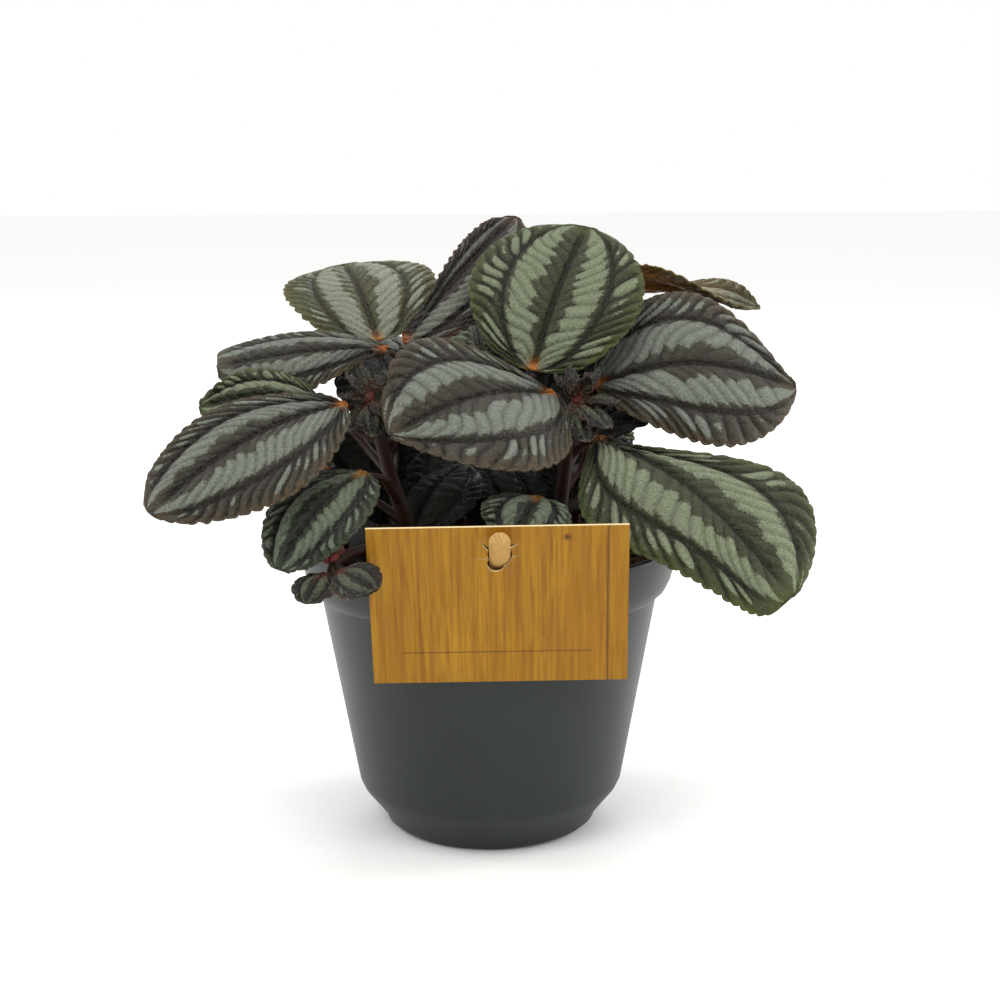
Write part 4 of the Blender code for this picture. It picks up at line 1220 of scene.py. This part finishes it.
class PLANT_OT_stems(bpy.types.Operator):
    """Grows the stems and the leaf stalks"""

    bl_idname = "plant.stems"
    bl_label = "Stems"

    def execute(self, context):
        skin = stem_skin("stem_skin", "30110A", "2A2012")
        for name, route in STEMS.items():
            pieces = [tube_piece(name + "_line", route, 20, 12)]
            for leaf_name, leaf in {**LEAVES, **INNER_LEAVES}.items():
                if leaf.stem == name:
                    pieces.append(tube_piece(leaf_name + "_stalk", stalk_route(leaf), 14, 8))
            stem = join(pieces, name.replace("stem", "stalks"))
            bpy.ops.object.shade_smooth()
            finish_piece(stem, [name], [skin])
        return {"FINISHED"}


class PLANT_OT_leaves(bpy.types.Operator):
    """Lays out the quilted leaves"""

    bl_idname = "plant.leaves"
    bl_label = "Leaves"

    def execute(self, context):
        settings = context.scene.plant_leaf
        skins = {tone: leaf_skin(tone) for tone in TONES}
        under = leaf_underside()
        for seed, (name, leaf) in enumerate(LEAVES.items()):
            depth = settings.relief * (0.6 if leaf.tone == "young" else 1.0)
            piece = leaf_piece(name.replace("leaf", "blade"), leaf, seed, depth, settings.thickness / MM)
            finish_piece(piece, [name], [skins[leaf.tone], under])
        for seed, (name, leaf) in enumerate(INNER_LEAVES.items()):
            piece = leaf_piece("blade_" + name, leaf, 60 + seed, settings.relief, settings.thickness / MM)
            finish_piece(piece, [], [skins[leaf.tone], under])
        return {"FINISHED"}


class PLANT_OT_young_leaves(bpy.types.Operator):
    """Makes the clusters of young leaves at the tops of the stems"""

    bl_idname = "plant.young_leaves"
    bl_label = "Young leaves"

    def execute(self, context):
        skin = bpy.data.materials["leaf_skin_young"]
        under = bpy.data.materials["leaf_underside"]
        for name, (centre, radius, young) in HEARTS.items():
            pieces = []
            for at, (*tip, width) in enumerate(young):
                leaf = young_leaf(centre, tip, width)
                pieces.append(leaf_piece(f"{name}_{at}", leaf, 40 + at, 0.7, 0.4, 0.1))
            bpy.ops.mesh.primitive_ico_sphere_add(
                subdivisions=3, radius=radius * 0.75 * MM, location=Vector(centre) * MM
            )
            bud = context.object
            bpy.ops.object.transform_apply(location=True)
            bpy.ops.object.shade_smooth()
            joint = bud.data.attributes.new("stalk", "FLOAT", "POINT")
            joint.data.foreach_set("value", [1.0] * len(bud.data.vertices))
            heart = join([bud] + pieces, name.replace("heart", "young_leaves"))
            finish_piece(heart, [name], [skin, under])
        return {"FINISHED"}


class PLANT_OT_flower_buds(bpy.types.Operator):
    """Makes the cluster of red flower buds on the side shoot"""

    bl_idname = "plant.flower_buds"
    bl_label = "Flower buds"

    def execute(self, context):
        chance = np.random.default_rng(3)
        pieces = []
        for x, y, z, radius in BUDS:
            bpy.ops.mesh.primitive_ico_sphere_add(
                subdivisions=3, radius=radius * 0.92 * MM, location=(x * MM, y * MM, z * MM)
            )
            pieces.append(context.object)
            for _ in range(5):
                turn = Vector(chance.normal(size=3)).normalized() * radius * 0.62
                bpy.ops.mesh.primitive_ico_sphere_add(
                    subdivisions=3, radius=radius * 0.42 * MM, location=(Vector((x, y, z)) + turn) * MM
                )
                pieces.append(context.object)
        for piece in pieces:
            only(piece)
            bpy.ops.object.transform_apply(location=True)
            bpy.ops.object.shade_smooth()
        buds = join(pieces, "flower_buds")
        finish_piece(buds, ["shoot_buds"], [stem_skin("bud_skin", "6E2226", "5E3428")])
        return {"FINISHED"}


class PLANT_OT_hairs(bpy.types.Operator):
    """Adds the short pale hairs on leaf edges, stalks and young leaves"""

    bl_idname = "plant.hairs"
    bl_label = "Hairs"

    def execute(self, context):
        length = context.scene.plant_leaf.hair_length / MM
        chance = np.random.default_rng(11)
        roots = []
        for leaf in LEAVES.values():
            many = EDGE_HAIRS[leaf.grid]
            if not many:
                continue
            u = chance.uniform(0.03, 0.97, many)
            v = np.where(chance.random(many) < 0.5, -1.0, 1.0)
            edge = blade_points(leaf, u, v * 1.004)
            out = edge - blade_points(leaf, u, v * 0.97)
            sway = chance.normal(size=(many, 3)) * 0.3
            for place, way, lean, size in zip(edge, out, sway, chance.uniform(0.4, 0.9, many)):
                way = way / np.linalg.norm(way) + lean
                roots.append((place, way, size * length))
        for leaf in LEAVES.values():
            for place in smooth_route(stalk_route(leaf), 10)[4:]:
                for _ in range(HAIRS_ROUND_STALK):
                    way = Vector(chance.normal(size=3)).normalized()
                    roots.append((place.xyz + way * place.w, way, length * chance.uniform(0.6, 1.2)))
        many = HAIRS_ON_YOUNG_LEAF
        for centre, _, young in HEARTS.values():
            for *tip, width in young:
                leaf = young_leaf(centre, tip, width)
                u, v = chance.uniform(0.05, 1, many), chance.uniform(-1, 1, many)
                normals = blade_normals(leaf, u, v)
                sway = chance.normal(size=(many, 3)) * 0.5
                for place, way in zip(blade_points(leaf, u, v), normals + sway):
                    roots.append((place, way, length * chance.uniform(0.7, 1.4)))
        kept = [
            (place, way, size) for place, way, size in roots
            if inside_box(place) and inside_box(Vector(place) + Vector(way).normalized() * size)
        ]
        hairs = hair_piece("plant_hairs", kept)
        finish_piece(hairs, [], [hair_skin()])
        return {"FINISHED"}


class PLANT_OT_stage(bpy.types.Operator):
    """Sets the pale floor, the soft studio lights and the camera"""

    bl_idname = "plant.stage"
    bl_label = "Stage"

    def execute(self, context):
        bpy.ops.object.select_all(action="DESELECT")
        bpy.ops.mesh.primitive_plane_add(size=6)
        floor = context.object
        floor.name = "floor"
        paper = {"Base Color": linear("FCFCFA"), "Roughness": 0.9, "Specular IOR Level": 0.1}
        floor.data.materials.append(new_material("floor_paper", paper)[0])
        for name, place, size, power in LIGHTS:
            light = bpy.data.lights.new(name, "AREA")
            light.shape = "RECTANGLE"
            light.size, light.size_y = size
            light.energy = power
            lamp = bpy.data.objects.new(name, light)
            context.scene.collection.objects.link(lamp)
            lamp.location = place
            lamp.rotation_euler = (Vector(LIGHTS_AIM) - lamp.location).to_track_quat("-Z", "Y").to_euler()
        overhead = bpy.data.lights.new("overhead", "SUN")
        overhead.energy = OVERHEAD
        overhead.angle = OVERHEAD_ANGLE
        context.scene.collection.objects.link(bpy.data.objects.new("overhead", overhead))
        world = bpy.data.worlds.new("studio")
        world.use_nodes = True
        sky = world.node_tree.nodes["Background"]
        sky.inputs["Color"].default_value = (1, 1, 1, 1)
        seen = add_node(world.node_tree, "LightPath", {}, "Is Camera Ray")
        strength = add_node(world.node_tree, "MapRange", {"Value": seen, "To Min": SKY_STRENGTH})
        world.node_tree.links.new(strength, sky.inputs["Strength"])
        context.scene.world = world
        context.scene.view_settings.view_transform = "Standard"
        camera = bpy.data.cameras.new("camera")
        camera.lens = CAMERA_LENS
        camera.sensor_width = 36
        camera.clip_start = 0.05
        eye = bpy.data.objects.new("camera", camera)
        context.scene.collection.objects.link(eye)
        eye.matrix_world = (
            Matrix.Translation(Vector(CAMERA_PLACE) * MM)
            @ Matrix.Rotation(math.pi / 2 - CAMERA_PITCH, 4, "X")
            @ Matrix.Rotation(CAMERA_ROLL, 4, "Z")
        )
        context.scene.camera = eye
        return {"FINISHED"}


GROUPS = {
    "plant_pot": PotSettings,
    "plant_card": CardSettings,
    "plant_peg": PegSettings,
    "plant_leaf": LeafSettings,
}
OPERATORS = [
    PLANT_OT_pot,
    PLANT_OT_soil,
    PLANT_OT_card,
    PLANT_OT_peg,
    PLANT_OT_stems,
    PLANT_OT_leaves,
    PLANT_OT_young_leaves,
    PLANT_OT_flower_buds,
    PLANT_OT_hairs,
    PLANT_OT_stage,
]


class PLANT_PT_panel(bpy.types.Panel):
    bl_label = "Friendship Plant"
    bl_idname = "PLANT_PT_panel"
    bl_space_type = "VIEW_3D"
    bl_region_type = "UI"
    bl_category = "Plant"

    def draw(self, context):
        for operator in OPERATORS:
            self.layout.operator(operator.bl_idname)
        for name, group in GROUPS.items():
            box = self.layout.box()
            for key in group.__annotations__:
                box.prop(getattr(context.scene, name), key)


def register():
    for made in (*GROUPS.values(), *OPERATORS, PLANT_PT_panel):
        bpy.utils.register_class(made)
    for name, group in GROUPS.items():
        setattr(bpy.types.Scene, name, PointerProperty(type=group))


def unregister():
    for name in GROUPS:
        delattr(bpy.types.Scene, name)
    for made in (PLANT_PT_panel, *reversed(OPERATORS), *reversed(GROUPS.values())):
        bpy.utils.unregister_class(made)


def main():
    register()
    for operator in OPERATORS:
        family, name = operator.bl_idname.split(".")
        getattr(getattr(bpy.ops, family), name)()


if __name__ == "__main__":
    main()
